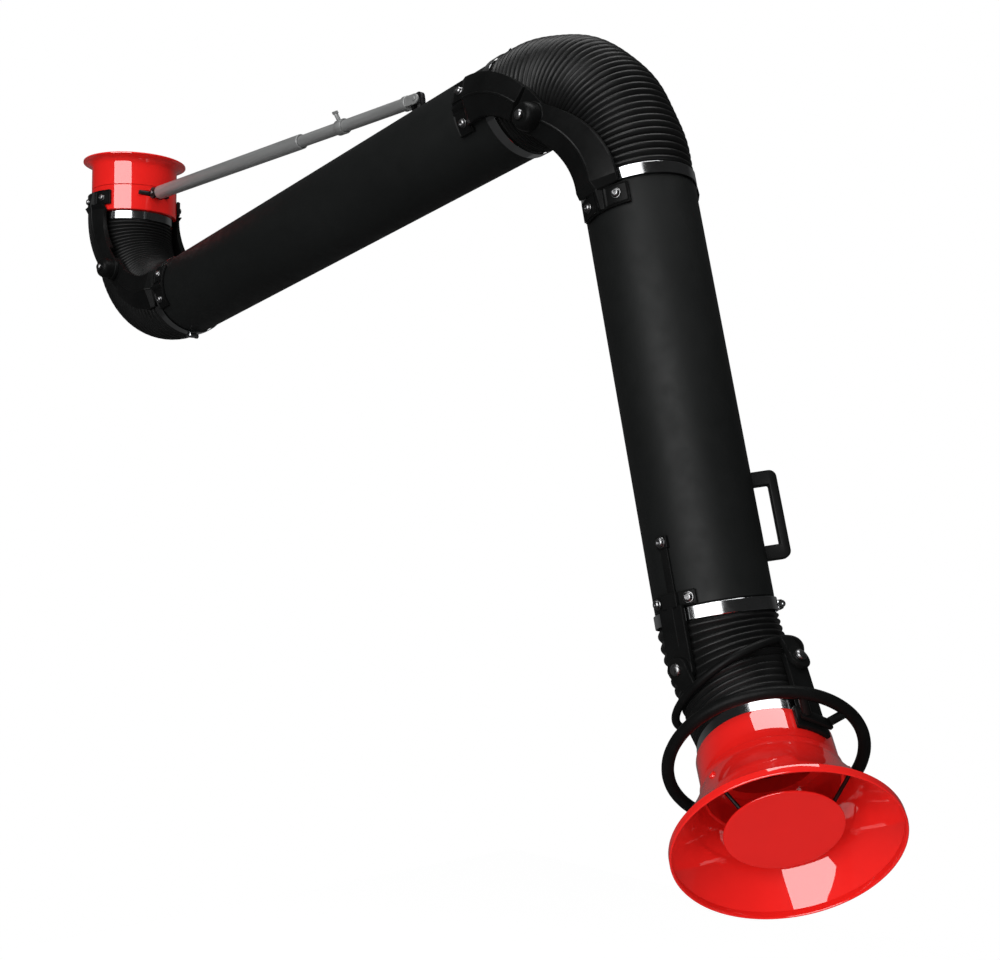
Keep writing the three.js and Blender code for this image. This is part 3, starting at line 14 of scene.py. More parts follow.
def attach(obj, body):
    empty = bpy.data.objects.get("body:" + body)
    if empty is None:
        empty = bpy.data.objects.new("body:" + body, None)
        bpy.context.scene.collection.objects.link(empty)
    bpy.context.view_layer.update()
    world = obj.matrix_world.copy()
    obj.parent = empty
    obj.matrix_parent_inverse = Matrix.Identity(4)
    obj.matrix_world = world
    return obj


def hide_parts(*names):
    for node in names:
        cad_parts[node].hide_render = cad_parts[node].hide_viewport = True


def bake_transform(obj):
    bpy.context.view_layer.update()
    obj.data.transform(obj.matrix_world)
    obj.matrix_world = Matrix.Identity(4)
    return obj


bl_info = {
    "name": "Fume Extraction Arm",
    "version": (1, 0, 0),
    "blender": (4, 5, 0),
    "location": "View3D > Sidebar > Fume Arm",
    "description": "Builds the finished pieces of a hanging fume extraction arm",
    "category": "Object",
}

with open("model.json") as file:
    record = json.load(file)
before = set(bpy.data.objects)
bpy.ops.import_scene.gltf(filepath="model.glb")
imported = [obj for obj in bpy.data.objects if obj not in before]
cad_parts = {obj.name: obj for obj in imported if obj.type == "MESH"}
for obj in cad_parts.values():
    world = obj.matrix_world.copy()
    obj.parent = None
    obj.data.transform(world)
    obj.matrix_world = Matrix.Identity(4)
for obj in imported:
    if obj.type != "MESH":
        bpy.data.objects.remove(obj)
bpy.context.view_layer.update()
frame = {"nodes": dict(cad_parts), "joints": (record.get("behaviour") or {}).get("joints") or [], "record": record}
MM = 0.001
JOINTS = {joint["name"]: joint for joint in frame["joints"]}
NODE_BODY = {
    node: body for body, nodes in frame["record"]["behaviour"]["bodies"].items() for node in nodes
}
NODE_SLOT = {row["node"]: row["material_slot"] for row in frame["record"]["subparts"]}

# Ducts and hinges
DUCT_RADIUS = 80 * MM
DUCT_WALL = 2 * MM
SPIGOT_RADIUS = 73 * MM
FIT = 0.4 * MM
CUFF = 20 * MM
SPIGOT_LENGTH = 18.5 * MM
PIVOT_OFFSET = 88 * MM
LOWER_SPAN = 1264.4 * MM
FOREARM_SPAN = 812.3 * MM
GIMBAL_DROP = 64 * MM
LOWER_PITCH = math.radians(9.58)
FOREARM_LEAN = math.radians(12.93)
HOOD_TILT = math.radians(42)
HOOD_SIDE_TILT = math.radians(28)
LOWER_FROM, LOWER_TO = 148.9 * MM, 1143.4 * MM
FOREARM_FROM, FOREARM_TO = 144.6 * MM, 733.3 * MM

# Base
FLANGE_RADIUS = 109 * MM
FLANGE_BORE = 89.6 * MM
COLLAR_RADIUS = 90.4 * MM
COLLAR_WALL = 4 * MM
COLLAR_SEAM = 65.6 * MM
COLLAR_BOTTOM = 119 * MM
SLEEVE_RADIUS = 82 * MM

# Hinge arms
HINGE_REACH = 162.5 * MM
ARM_INNER = 84.5 * MM
ARM_OUTER = 101 * MM
ARM_BEND_FROM = 138 * MM
LAP_PLANE = (ARM_INNER + ARM_OUTER) / 2
LAP_RADIUS = 48 * MM
LAP_GAP = 0.35 * MM
FOOT_THICKNESS = 6 * MM
BOLT_ANGLE = math.radians(17.8)
HOOD_FOOT = FOREARM_SPAN - 89 * MM
TAIL_FOOT = FOREARM_SPAN - 166.5 * MM
BRACKET_OUTER = 91.5 * MM
BRACKET_HALF = 19.5 * MM
PROUD = 0.2 * MM

# Hood
NECK_TOP = 84 * MM
NECK_RADIUS = 86.7 * MM
NECK_BOTTOM = 129 * MM
FLARE_TOP = 138 * MM
STEP_RADIUS = 89.5 * MM
RIM_DEPTH = 227 * MM
RIM_RADIUS = 141 * MM
LIP_HEIGHT = 9.5 * MM
HOOD_WALL = 3 * MM
DEFLECTOR_DEPTH = 200 * MM
DEFLECTOR_RADIUS = 73 * MM
PLATE_INNER = 87.1 * MM
PLATE_OUTER = 94.1 * MM

# Balance strut
STRUT_TOP_REACH = 912.5 * MM
STRUT_STAND_OFF = 30 * MM
STRUT_TUBE_END = 543 * MM


def joint_place(name):
    return Vector(JOINTS[name]["pos_m"])


def turn(angle, axis):
    return Matrix.Rotation(angle, 4, axis)


def shift(x=0.0, y=0.0, z=0.0):
    return Matrix.Translation((x, y, z))


QUARTER = math.pi / 2
LOWER = Matrix.Translation(joint_place("base_tilt")) @ turn(-LOWER_PITCH, "Y")
FOREARM = Matrix.Translation(joint_place("elbow")) @ turn(-FOREARM_LEAN, "Y")
GIMBAL = Matrix.Translation(joint_place("hood_tilt")) @ turn(-HOOD_TILT, "Y")
HOOD = Matrix.Translation(joint_place("hood_side_tilt")) @ turn(-HOOD_TILT, "Y") @ turn(-HOOD_SIDE_TILT, "X")
LOWER_DUCT = LOWER @ shift(z=-PIVOT_OFFSET)
FOREARM_DUCT = FOREARM @ shift(x=PIVOT_OFFSET) @ turn(QUARTER, "Y")
STRUT_FOOT = joint_place("strut_swing")
STRUT_TOP = LOWER @ Vector((STRUT_TOP_REACH, 0, DUCT_RADIUS + STRUT_STAND_OFF - PIVOT_OFFSET))
STRUT_LINE = STRUT_TOP - STRUT_FOOT
STRUT_LENGTH = STRUT_LINE.length
STRUT = Matrix.Translation(STRUT_FOOT) @ turn(-math.atan2(STRUT_LINE.z, STRUT_LINE.x), "Y")
ALONG_X = turn(QUARTER, "Y")
NEARWARD = turn(QUARTER, "X")


def hinge_frame(place, foot, duct):
    """A hinge arm's own frame: X along its foot, Z from the pivot to the duct's axis"""
    basis = Matrix((foot, (0, 1, 0), duct)).transposed().to_4x4()
    return place @ basis


HINGES = {
    "collar": hinge_frame(Matrix.Translation(joint_place("base_tilt")), (0, 0, 1), (-1, 0, 0)),
    "base": hinge_frame(LOWER, (1, 0, 0), (0, 0, -1)),
    "elbow": hinge_frame(LOWER @ shift(LOWER_SPAN, 0, -2 * PIVOT_OFFSET), (-1, 0, 0), (0, 0, 1)),
    "forearm": hinge_frame(FOREARM, (0, 0, -1), (1, 0, 0)),
}


# Modelling steps


def deselect():
    if bpy.context.mode != "OBJECT":
        bpy.ops.object.mode_set(mode="OBJECT")
    bpy.ops.object.select_all(action="DESELECT")


def pick(obj):
    deselect()
    obj.select_set(True)
    bpy.context.view_layer.objects.active = obj


def recalculated(obj):
    """Merges doubles and turns the faces outwards"""
    pick(obj)
    bpy.ops.object.mode_set(mode="EDIT")
    bpy.ops.mesh.select_all(action="SELECT")
    bpy.ops.mesh.remove_doubles(threshold=1e-6)
    bpy.ops.mesh.normals_make_consistent(inside=False)
    bpy.ops.object.mode_set(mode="OBJECT")
    return obj


def placed(obj, matrix):
    """Moves a piece to its place and leaves its object at the origin"""
    pick(obj)
    obj.matrix_world = matrix @ obj.matrix_world
    bpy.ops.object.transform_apply(location=True, rotation=True, scale=True)
    if matrix.to_3x3().determinant() < 0:
        recalculated(obj)
    return obj


def applied(obj, kind, **settings):
    """Adds a modifier with these settings and applies it"""
    pick(obj)
    modifier = obj.modifiers.new(kind.title(), kind)
    for key, value in settings.items():
        setattr(modifier, key, value)
    bpy.ops.object.modifier_apply(modifier=modifier.name)
    return obj


def carved(obj, cutter):
    """Cuts a piece by another, which is then removed"""
    applied(obj, "BOOLEAN", operation="DIFFERENCE", solver="EXACT", object=cutter)
    bpy.data.objects.remove(cutter)
    return obj


def softened(obj, width, segments=2, angle=32):
    """Rounds the edges sharper than an angle"""
    return applied(
        obj, "BEVEL", width=width, segments=segments, limit_method="ANGLE",
        angle_limit=math.radians(angle), harden_normals=False, use_clamp_overlap=True,
    )


def smoothed(obj, angle=40):
    pick(obj)
    bpy.ops.object.shade_smooth_by_angle(angle=math.radians(angle))
    return obj


def joined(name, *pieces):
    pick(pieces[0])
    for piece in pieces[1:]:
        piece.select_set(True)
    bpy.ops.object.join()
    bpy.context.object.name = name
    return bpy.context.object


def copied(obj, name):
    pick(obj)
    bpy.ops.object.duplicate()
    bpy.context.object.name = name
    return bpy.context.object


def far_copy(obj, name):
    return placed(copied(obj, name), Matrix.Scale(-1, 4, (0, 1, 0)))


def spun(name, outline, steps=96, sweep=math.tau, start=0.0):
    """Draws an outline of (radius, height) points by extruding a point, then spins it about Z"""
    deselect()
    bpy.ops.mesh.primitive_plane_add(size=MM)
    obj = bpy.context.object
    obj.name = name
    bpy.ops.object.mode_set(mode="EDIT")
    bpy.ops.mesh.merge(type="CENTER")
    here = Vector()
    for i, (radius, height) in enumerate(outline):
        there = Vector((radius * math.cos(start), radius * math.sin(start), height))
        if i == 0:
            bpy.ops.transform.translate(value=there - here)
        else:
            bpy.ops.mesh.extrude_region_move(TRANSFORM_OT_translate={"value": there - here})
        here = there
    if outline[0][0] > 0 or outline[-1][0] > 0:
        mesh = bmesh.from_edit_mesh(obj.data)
        mesh.verts.ensure_lookup_table()
        mesh.verts[0].select_set(True)
        bmesh.update_edit_mesh(obj.data)
        bpy.ops.mesh.edge_face_add()
    bpy.ops.mesh.select_all(action="SELECT")
    bpy.ops.mesh.spin(steps=steps, angle=sweep, center=(0, 0, 0), axis=(0, 0, 1))
    bpy.ops.mesh.select_all(action="SELECT")
    bpy.ops.mesh.remove_doubles(threshold=1e-6)
    if sweep < math.tau - 1e-6:
        bpy.ops.mesh.select_all(action="SELECT")
        bpy.ops.mesh.fill_holes(sides=0)
    bpy.ops.object.mode_set(mode="OBJECT")
    return recalculated(obj)


def slab(name, low, high):
    """A box between two corners"""
    deselect()
    low, high = Vector(low), Vector(high)
    bpy.ops.mesh.primitive_cube_add(size=1, location=(low + high) / 2, scale=high - low)
    obj = bpy.context.object
    obj.name = name
    return placed(obj, Matrix.Identity(4))


def lofted(name, rings):
    """Extrudes a ring of points from section to section and closes both ends"""
    deselect()
    bpy.ops.mesh.primitive_circle_add(vertices=len(rings[0]), radius=MM)
    obj = bpy.context.object
    obj.name = name
    bpy.ops.object.mode_set(mode="EDIT")
    mesh = bmesh.from_edit_mesh(obj.data)
    for i, ring in enumerate(rings):
        if i:
            bpy.ops.mesh.extrude_region_move()
            mesh = bmesh.from_edit_mesh(obj.data)
        for vert, point in zip([v for v in mesh.verts if v.select], ring):
            vert.co = point
        if i in (0, len(rings) - 1):
            bmesh.update_edit_mesh(obj.data)
            if i == 0:
                bpy.ops.mesh.edge_face_add()
                mesh = bmesh.from_edit_mesh(obj.data)
    bpy.ops.object.mode_set(mode="OBJECT")
    return recalculated(obj)


def bent_bar(name, points, radius, sides=6, cyclic=False):
    """A round bar along a path of (point, handle before, handle after)"""
    deselect()
    bpy.ops.curve.primitive_bezier_curve_add()
    obj = bpy.context.object
    obj.name = name
    curve = obj.data
    spline = curve.splines[0]
    spline.bezier_points.add(len(points) - 2)
    for bezier, (place, before, after) in zip(spline.bezier_points, points):
        bezier.handle_left_type = bezier.handle_right_type = "FREE"
        bezier.co, bezier.handle_left, bezier.handle_right = place, before, after
    spline.use_cyclic_u = cyclic
    spline.resolution_u = 16
    curve.bevel_depth = radius
    curve.bevel_resolution = sides
    curve.use_fill_caps = True
    pick(obj)
    bpy.ops.object.convert(target="MESH")
    return recalculated(bpy.context.object)


def straight(place, toward):
    """Path points for a straight bar"""
    place, toward = Vector(place), Vector(toward)
    third = (toward - place) / 3
    return [(place, place - third, place + third), (toward, toward - third, toward + third)]


def patch(name, inner, outer, low, high, half_angle, steps=16):
    """A curved pad round a duct along X, facing the near side"""
    pad = spun(name, [(inner, low), (outer, low), (outer, high), (inner, high)], steps, 2 * half_angle)
    return placed(pad, ALONG_X @ turn(half_angle - QUARTER, "Z"))


def arc(centre, radius, start, end, steps):
    """Points on a circle in the (radius, height) plane, angles in degrees"""
    points = []
    for i in range(steps + 1):
        angle = math.radians(start + (end - start) * i / steps)
        points.append((centre[0] + radius * math.cos(angle), centre[1] + radius * math.sin(angle)))
    return points


# Materials


class Finish:
    """A node material on Object coordinates"""

    def __init__(self, name, colour, roughness, metallic=0.0):
        self.material = bpy.data.materials.new(name)
        self.material.use_nodes = True
        self.tree = self.material.node_tree
        self.shader = self.tree.nodes["Principled BSDF"]
        self.colour = colour
        self.roughness = roughness
        self.set(**{"Base Color": (*colour, 1), "Roughness": roughness, "Metallic": metallic})
        self.coordinates = self.tree.nodes.new("ShaderNodeTexCoord").outputs["Object"]

    def set(self, **values):
        for key, value in values.items():
            self.shader.inputs[key].default_value = value

    def node(self, kind, **values):
        made = self.tree.nodes.new(kind)
        for key, value in values.items():
            setattr(made, key, value)
        return made

    def link(self, start, end):
        self.tree.links.new(start, end)

    def noise(self, scale, detail=3.0, stretch=(1, 1, 1)):
        mapping = self.node("ShaderNodeMapping")
        mapping.inputs["Scale"].default_value = stretch
        self.link(self.coordinates, mapping.inputs["Vector"])
        noise = self.node("ShaderNodeTexNoise")
        noise.inputs["Scale"].default_value = scale
        noise.inputs["Detail"].default_value = detail
        self.link(mapping.outputs["Vector"], noise.inputs["Vector"])
        return noise.outputs["Fac"]

    def spread(self, value, low, high):
        ranged = self.node("ShaderNodeMapRange")
        ranged.inputs["From Min"].default_value = 0.3
        ranged.inputs["From Max"].default_value = 0.7
        ranged.inputs["To Min"].default_value = low
        ranged.inputs["To Max"].default_value = high
        self.link(value, ranged.inputs["Value"])
        return ranged.outputs["Result"]

    def vary_colour(self, value, darker, lighter):
        mix = self.node("ShaderNodeMix", data_type="RGBA")
        mix.inputs["A"].default_value = (*[c * darker for c in self.colour], 1)
        mix.inputs["B"].default_value = (*[min(1, c * lighter) for c in self.colour], 1)
        self.link(self.spread(value, 0, 1), mix.inputs["Factor"])
        self.link(mix.outputs["Result"], self.shader.inputs["Base Color"])

    def vary_roughness(self, value, less, more):
        self.link(self.spread(value, self.roughness - less, self.roughness + more), self.shader.inputs["Roughness"])

    def relief(self, value, strength, distance):
        bump = self.node("ShaderNodeBump")
        bump.inputs["Strength"].default_value = strength
        bump.inputs["Distance"].default_value = distance
        self.link(value, bump.inputs["Height"])
        self.link(bump.outputs["Normal"], self.shader.inputs["Normal"])


def red_gloss(colours):
    """Sprayed gloss paint with a faint orange peel"""
    finish = Finish("red gloss paint", colours.red, 0.4)
    finish.set(**{"Coat Weight": 1.0, "Coat Roughness": 0.02, "Coat IOR": 1.95, "Specular IOR Level": 0.05})
    finish.vary_colour(finish.noise(14, 2), 0.98, 1.015)
    finish.vary_roughness(finish.noise(60, 3), 0.04, 0.05)
    finish.relief(finish.noise(260, 1), 0.012, 0.3 * MM)
    return finish.material


def black_paint(colours):
    """Satin powder coat with a fine texture"""
    finish = Finish("satin black paint", colours.tube_black, 0.52)
    finish.set(**{"Specular IOR Level": 0.22})
    finish.vary_colour(finish.noise(5, 5), 0.86, 1.14)
    finish.vary_roughness(finish.noise(38, 4), 0.05, 0.07)
    finish.relief(finish.noise(1500, 2), 0.16, 0.25 * MM)
    return finish.material


def black_moulding(colours):
    """Grained injection moulding"""
    finish = Finish("black moulding", colours.moulding_black, 0.37)
    finish.set(**{"Specular IOR Level": 0.1})
    finish.vary_colour(finish.noise(22, 4), 0.8, 1.2)
    finish.vary_roughness(finish.noise(90, 3), 0.06, 0.08)
    finish.relief(finish.noise(1100, 3), 0.22, 0.3 * MM)
    return finish.material


def black_hose(colours):
    """Coated hose fabric, a little dusty and scuffed"""
    finish = Finish("black hose", colours.hose_black, 0.38)
    finish.set(**{"Specular IOR Level": 0.3})
    finish.vary_colour(finish.noise(16, 5), 0.75, 1.3)
    finish.vary_roughness(finish.noise(70, 4), 0.08, 0.1)
    finish.relief(finish.noise(700, 3), 0.25, 0.4 * MM)
    return finish.material


def bright_steel(colours):
    """Plated steel with faint rolling marks"""
    finish = Finish("bright plated steel", colours.steel, 0.13, 1.0)
    finish.vary_colour(finish.noise(40, 3), 0.9, 1.06)
    finish.vary_roughness(finish.noise(130, 4, (1, 1, 6)), 0.03, 0.04)
    finish.relief(finish.noise(600, 2, (1, 1, 8)), 0.02, 0.2 * MM)
    return finish.material


def bolt_steel(colours):
    """Dull plated steel"""
    finish = Finish("bolt steel", colours.bolt, 0.3, 1.0)
    finish.vary_colour(finish.noise(60, 3), 0.85, 1.1)
    finish.vary_roughness(finish.noise(160, 3), 0.06, 0.09)
    return finish.material


def strut_alloy(colours):
    """Drawn alloy, brushed along the strut"""
    finish = Finish("drawn alloy", colours.alloy, 0.4, 0.4)
    finish.vary_colour(finish.noise(120, 3, (0.06, 1, 1)), 0.85, 1.1)
    finish.vary_roughness(finish.noise(300, 3, (0.05, 1, 1)), 0.08, 0.1)
    finish.relief(finish.noise(900, 2, (0.03, 1, 1)), 0.12, 0.2 * MM)
    return finish.material


def dark_steel(colours):
    """Oiled dark steel"""
    finish = Finish("dark steel", colours.dark_steel, 0.38, 0.9)
    finish.vary_colour(finish.noise(50, 4), 0.7, 1.3)
    finish.vary_roughness(finish.noise(110, 3), 0.08, 0.12)
    finish.relief(finish.noise(500, 2), 0.1, 0.2 * MM)
    return finish.material


def white_polymer(colours):
    """Off-white bearing polymer"""
    finish = Finish("bearing polymer", colours.polymer, 0.5)
    finish.vary_colour(finish.noise(30, 3), 0.93, 1.03)
    finish.relief(finish.noise(600, 2), 0.08, 0.2 * MM)
    return finish.material


FINISHES = {
    "red_gloss": red_gloss,
    "black_paint": black_paint,
    "black_moulding": black_moulding,
    "black_hose": black_hose,
    "bright_steel": bright_steel,
    "bolt_steel": bolt_steel,
    "strut_alloy": strut_alloy,
    "dark_steel": dark_steel,
    "white_polymer": white_polymer,
}
MADE = {}


def finish_of(slot):
    if slot not in MADE:
        MADE[slot] = FINISHES[slot](bpy.context.scene.fume_arm_colours)
    return MADE[slot]


def coated(obj, node):
    """Gives a piece the finish of the CAD node that it stands for"""
    obj.data.materials.clear()
    obj.data.materials.append(finish_of(NODE_SLOT[node]))
    return obj


def dressed(obj, node):
    """The piece stands for a CAD node and rides on that node's body"""
    coated(obj, node)
    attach(obj, NODE_BODY[node])
    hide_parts(node)
    return obj


def dressed_pair(near, node, angle=40):
    """A near piece and its mirror image on the far side"""
    far = far_copy(near, f"{node}_far_finished")
    near.name = f"{node}_near_finished"
    dressed(smoothed(near, angle), f"{node}_near")
    dressed(smoothed(far, angle), f"{node}_far")


class FumeArmSizes(bpy.types.PropertyGroup):
    """Sizes of the finished surfaces"""

    edge: bpy.props.FloatProperty(
        name="Edge", description="Rounding of moulded edges", default=1.6 * MM, min=0.2 * MM, max=3 * MM, unit="LENGTH")
    rib_crest: bpy.props.FloatProperty(
        name="Rib Crest", description="Hose radius at the top of a rib", default=81.3 * MM, unit="LENGTH")
    rib_valley: bpy.props.FloatProperty(
        name="Rib Valley", description="Hose radius between ribs", default=77.4 * MM, unit="LENGTH")
    base_ribs: bpy.props.IntProperty(name="Base Ribs", description="Ribs of the base hose", default=30, min=4)
    elbow_ribs: bpy.props.IntProperty(name="Elbow Ribs", description="Ribs of the elbow hose", default=36, min=4)
    hood_ribs: bpy.props.IntProperty(name="Hood Ribs", description="Ribs of the hood hose", default=14, min=4)
    round_steps: bpy.props.IntProperty(name="Round Steps", description="Facets round a duct", default=128, min=24)


def colour_property(name, description, value):
    return bpy.props.FloatVectorProperty(
        name=name, description=description, subtype="COLOR", size=3, min=0, max=1, default=value)


class FumeArmColours(bpy.types.PropertyGroup):
    """Colours of the finishes"""

    red: colour_property("Red", "Gloss paint of the flange, collar and hood", (0.82, 0.014, 0.011))
    tube_black: colour_property("Tube Black", "Satin paint of the ducts", (0.0068, 0.0075, 0.0074))
    moulding_black: colour_property("Moulding Black", "Arms, brackets and handles", (0.0048, 0.005, 0.005))
    hose_black: colour_property("Hose Black", "Ribbed hoses", (0.0058, 0.006, 0.006))
    steel: colour_property("Steel", "Clamps and the strut's lock", (0.6, 0.61, 0.62))
    bolt: colour_property("Bolt", "Bolts and pins", (0.36, 0.36, 0.365))
    alloy: colour_property("Alloy", "Balance strut", (0.3, 0.305, 0.304))
    dark_steel: colour_property("Dark Steel", "Lugs and stays", (0.035, 0.035, 0.036))
    polymer: colour_property("Polymer", "Bearing ring", (0.68, 0.68, 0.62))
    floor: colour_property("Floor", "Studio floor", (0.86, 0.86, 0.86))


class FUMEARM_OT_base(bpy.types.Operator):
    """Builds the mounting flange and the swivel collar"""

    bl_idname = "fume_arm.base"
    bl_label = "Base"

    def execute(self, context):
        steps = context.scene.fume_arm_sizes.round_steps
        drop = FLANGE_RADIUS - COLLAR_RADIUS
        flare = []
        for i in range(13):
            angle = QUARTER * i / 12
            flare.append((FLANGE_RADIUS - drop * math.sin(angle), -3 * MM - 16 * MM * (1 - math.cos(angle))))
        flange = spun("mount_flange_finished", [
            (FLANGE_BORE, 0),
            *arc((FLANGE_RADIUS - 1 * MM, -1 * MM), 1 * MM, 90, 0, 4),
            *flare,
            (COLLAR_RADIUS, -COLLAR_SEAM + 1.4 * MM),
            (COLLAR_RADIUS - 0.7 * MM, -COLLAR_SEAM + 0.7 * MM),
            (86.8 * MM, -COLLAR_SEAM + 0.7 * MM),
            (86.8 * MM, -21 * MM),
            (FLANGE_BORE, -21 * MM),
        ], steps)
        dressed(smoothed(flange, 35), "mount_flange")
        bore = COLLAR_RADIUS - COLLAR_WALL
        spigot_bore = SPIGOT_RADIUS - DUCT_WALL
        collar = spun("swivel_collar_finished", [
            (COLLAR_RADIUS - 0.7 * MM, -COLLAR_SEAM),
            (COLLAR_RADIUS, -COLLAR_SEAM - 0.7 * MM),
            (COLLAR_RADIUS, -COLLAR_BOTTOM + 1.2 * MM),
            (COLLAR_RADIUS - 1.2 * MM, -COLLAR_BOTTOM),
            (SPIGOT_RADIUS, -COLLAR_BOTTOM),
            (SPIGOT_RADIUS, -COLLAR_BOTTOM - SPIGOT_LENGTH),
            (spigot_bore, -COLLAR_BOTTOM - SPIGOT_LENGTH),
            (spigot_bore, -COLLAR_BOTTOM + 5 * MM),
            (bore, -COLLAR_BOTTOM + 5 * MM),
            (bore, -COLLAR_SEAM - 5 * MM),
            (SLEEVE_RADIUS - 4 * MM, -COLLAR_SEAM - 5 * MM),
            (SLEEVE_RADIUS - 4 * MM, -12 * MM),
            (SLEEVE_RADIUS, -12 * MM),
            (SLEEVE_RADIUS, -COLLAR_SEAM),
        ], steps)
        cutter = slab("lug slot", (84 * MM, -37 * MM, STRUT_FOOT.z - 6 * MM), (0.2, 37 * MM, STRUT_FOOT.z + 6 * MM))
        softened(cutter, 4 * MM, 3)
        carved(collar, cutter)
        dressed(smoothed(collar, 35), "swivel_collar")
        return {"FINISHED"}


class FUMEARM_OT_tubes(bpy.types.Operator):
    """Builds the two duct tubes with drawn-in ends"""

    bl_idname = "fume_arm.tubes"
    bl_label = "Tubes"

    def execute(self, context):
        steps = context.scene.fume_arm_sizes.round_steps
        for node, start, end, place in (
            ("lower_tube", LOWER_FROM, LOWER_TO, LOWER_DUCT),
            ("forearm_tube", FOREARM_FROM, FOREARM_TO, FOREARM_DUCT),
        ):
            lip = 1.6 * MM
            bore = SPIGOT_RADIUS - DUCT_WALL
            wide = DUCT_RADIUS - DUCT_WALL
            tube = spun(f"{node}_finished", [
                (SPIGOT_RADIUS, start - SPIGOT_LENGTH),
                (SPIGOT_RADIUS, start),
                *arc((DUCT_RADIUS - lip, start + lip), lip, -90, 0, 5),
                *arc((DUCT_RADIUS - lip, end - lip), lip, 0, 90, 5),
                (SPIGOT_RADIUS, end),
                (SPIGOT_RADIUS, end + SPIGOT_LENGTH),
                (bore, end + SPIGOT_LENGTH),
                (bore, end - DUCT_WALL),
                (wide, end - DUCT_WALL - 3 * MM),
                (wide, start + DUCT_WALL + 3 * MM),
                (bore, start + DUCT_WALL),
                (bore, start - SPIGOT_LENGTH),
            ], steps)
            dressed(smoothed(placed(tube, place @ ALONG_X), 35), node)
        return {"FINISHED"}


def hose_path(start, start_way, end, end_way, bulge):
    """Path points of a hose: straight in both cuffs, one smooth bend between them"""
    bend_start = start + start_way * CUFF
    bend_end = end - end_way * CUFF
    angle = start_way.angle(end_way)
    chord = (bend_end - bend_start).length
    handle = bulge * chord * (4 / 3) * math.tan(angle / 4) / (2 * math.sin(angle / 2))
    third = CUFF / 3
    return [
        (start, start - start_way * third, start + start_way * third),
        (bend_start, bend_start - start_way * third, bend_start + start_way * handle),
        (bend_end, bend_end - end_way * handle, bend_end + end_way * third),
        (end, end - end_way * third, end + end_way * third),
    ]


def path_length(points, steps=400):
    """Length of a path, measured in short steps"""
    total = 0.0
    for (a, _, b), (d, c, _) in zip(points, points[1:]):
        last = a
        for i in range(1, steps + 1):
            t = i / steps
            here = a * (1 - t) ** 3 + 3 * b * t * (1 - t) ** 2 + 3 * c * t * t * (1 - t) + d * t ** 3
            total += (here - last).length
            last = here
    return total


def ribbed_hose(name, points, ribs, sizes, lump=0.0):
    """One rib is drawn, repeated along X and then bent along the path"""
    length = path_length(points)
    pitch = (length - 2 * CUFF) / ribs
    low, high = sizes.rib_valley, sizes.rib_crest
    swell = high - low
    steps = 10
    outline = []
    for i in range(steps + 1):
        share = i / steps
        outline.append((low + swell * math.sin(math.pi * share) ** 1.3, pitch * share))
    wall = 1.6 * MM
    profile = [(low, 0), (low, CUFF)]
    for k in range(ribs):
        wave = lump * (1 - math.cos(math.tau * (k + 0.5) * 4 / ribs)) / 2
        profile += [(r + wave, CUFF + k * pitch + z) for r, z in outline[1:-1]]
        profile.append((low, CUFF + (k + 1) * pitch))
    profile += [(low, length)]
    profile += [(low - wall, length - (length * i / (2 * ribs))) for i in range(2 * ribs + 1)]
    hose = placed(spun(name, profile, sizes.round_steps // 2), ALONG_X)
    deselect()
    bpy.ops.curve.primitive_bezier_curve_add()
    rail = bpy.context.object
    spline = rail.data.splines[0]
    spline.bezier_points.add(len(points) - 2)
    for bezier, (place, before, after) in zip(spline.bezier_points, points):
        bezier.handle_left_type = bezier.handle_right_type = "FREE"
        bezier.co, bezier.handle_left, bezier.handle_right = place, before, after
    spline.resolution_u = 64
    rail.data.twist_mode = "Z_UP" if abs(points[0][0].y - points[-1][0].y) < 1e-6 else "MINIMUM"
    applied(hose, "CURVE", object=rail, deform_axis="POS_X")
    bpy.data.objects.remove(rail)
    return smoothed(recalculated(hose), 70)


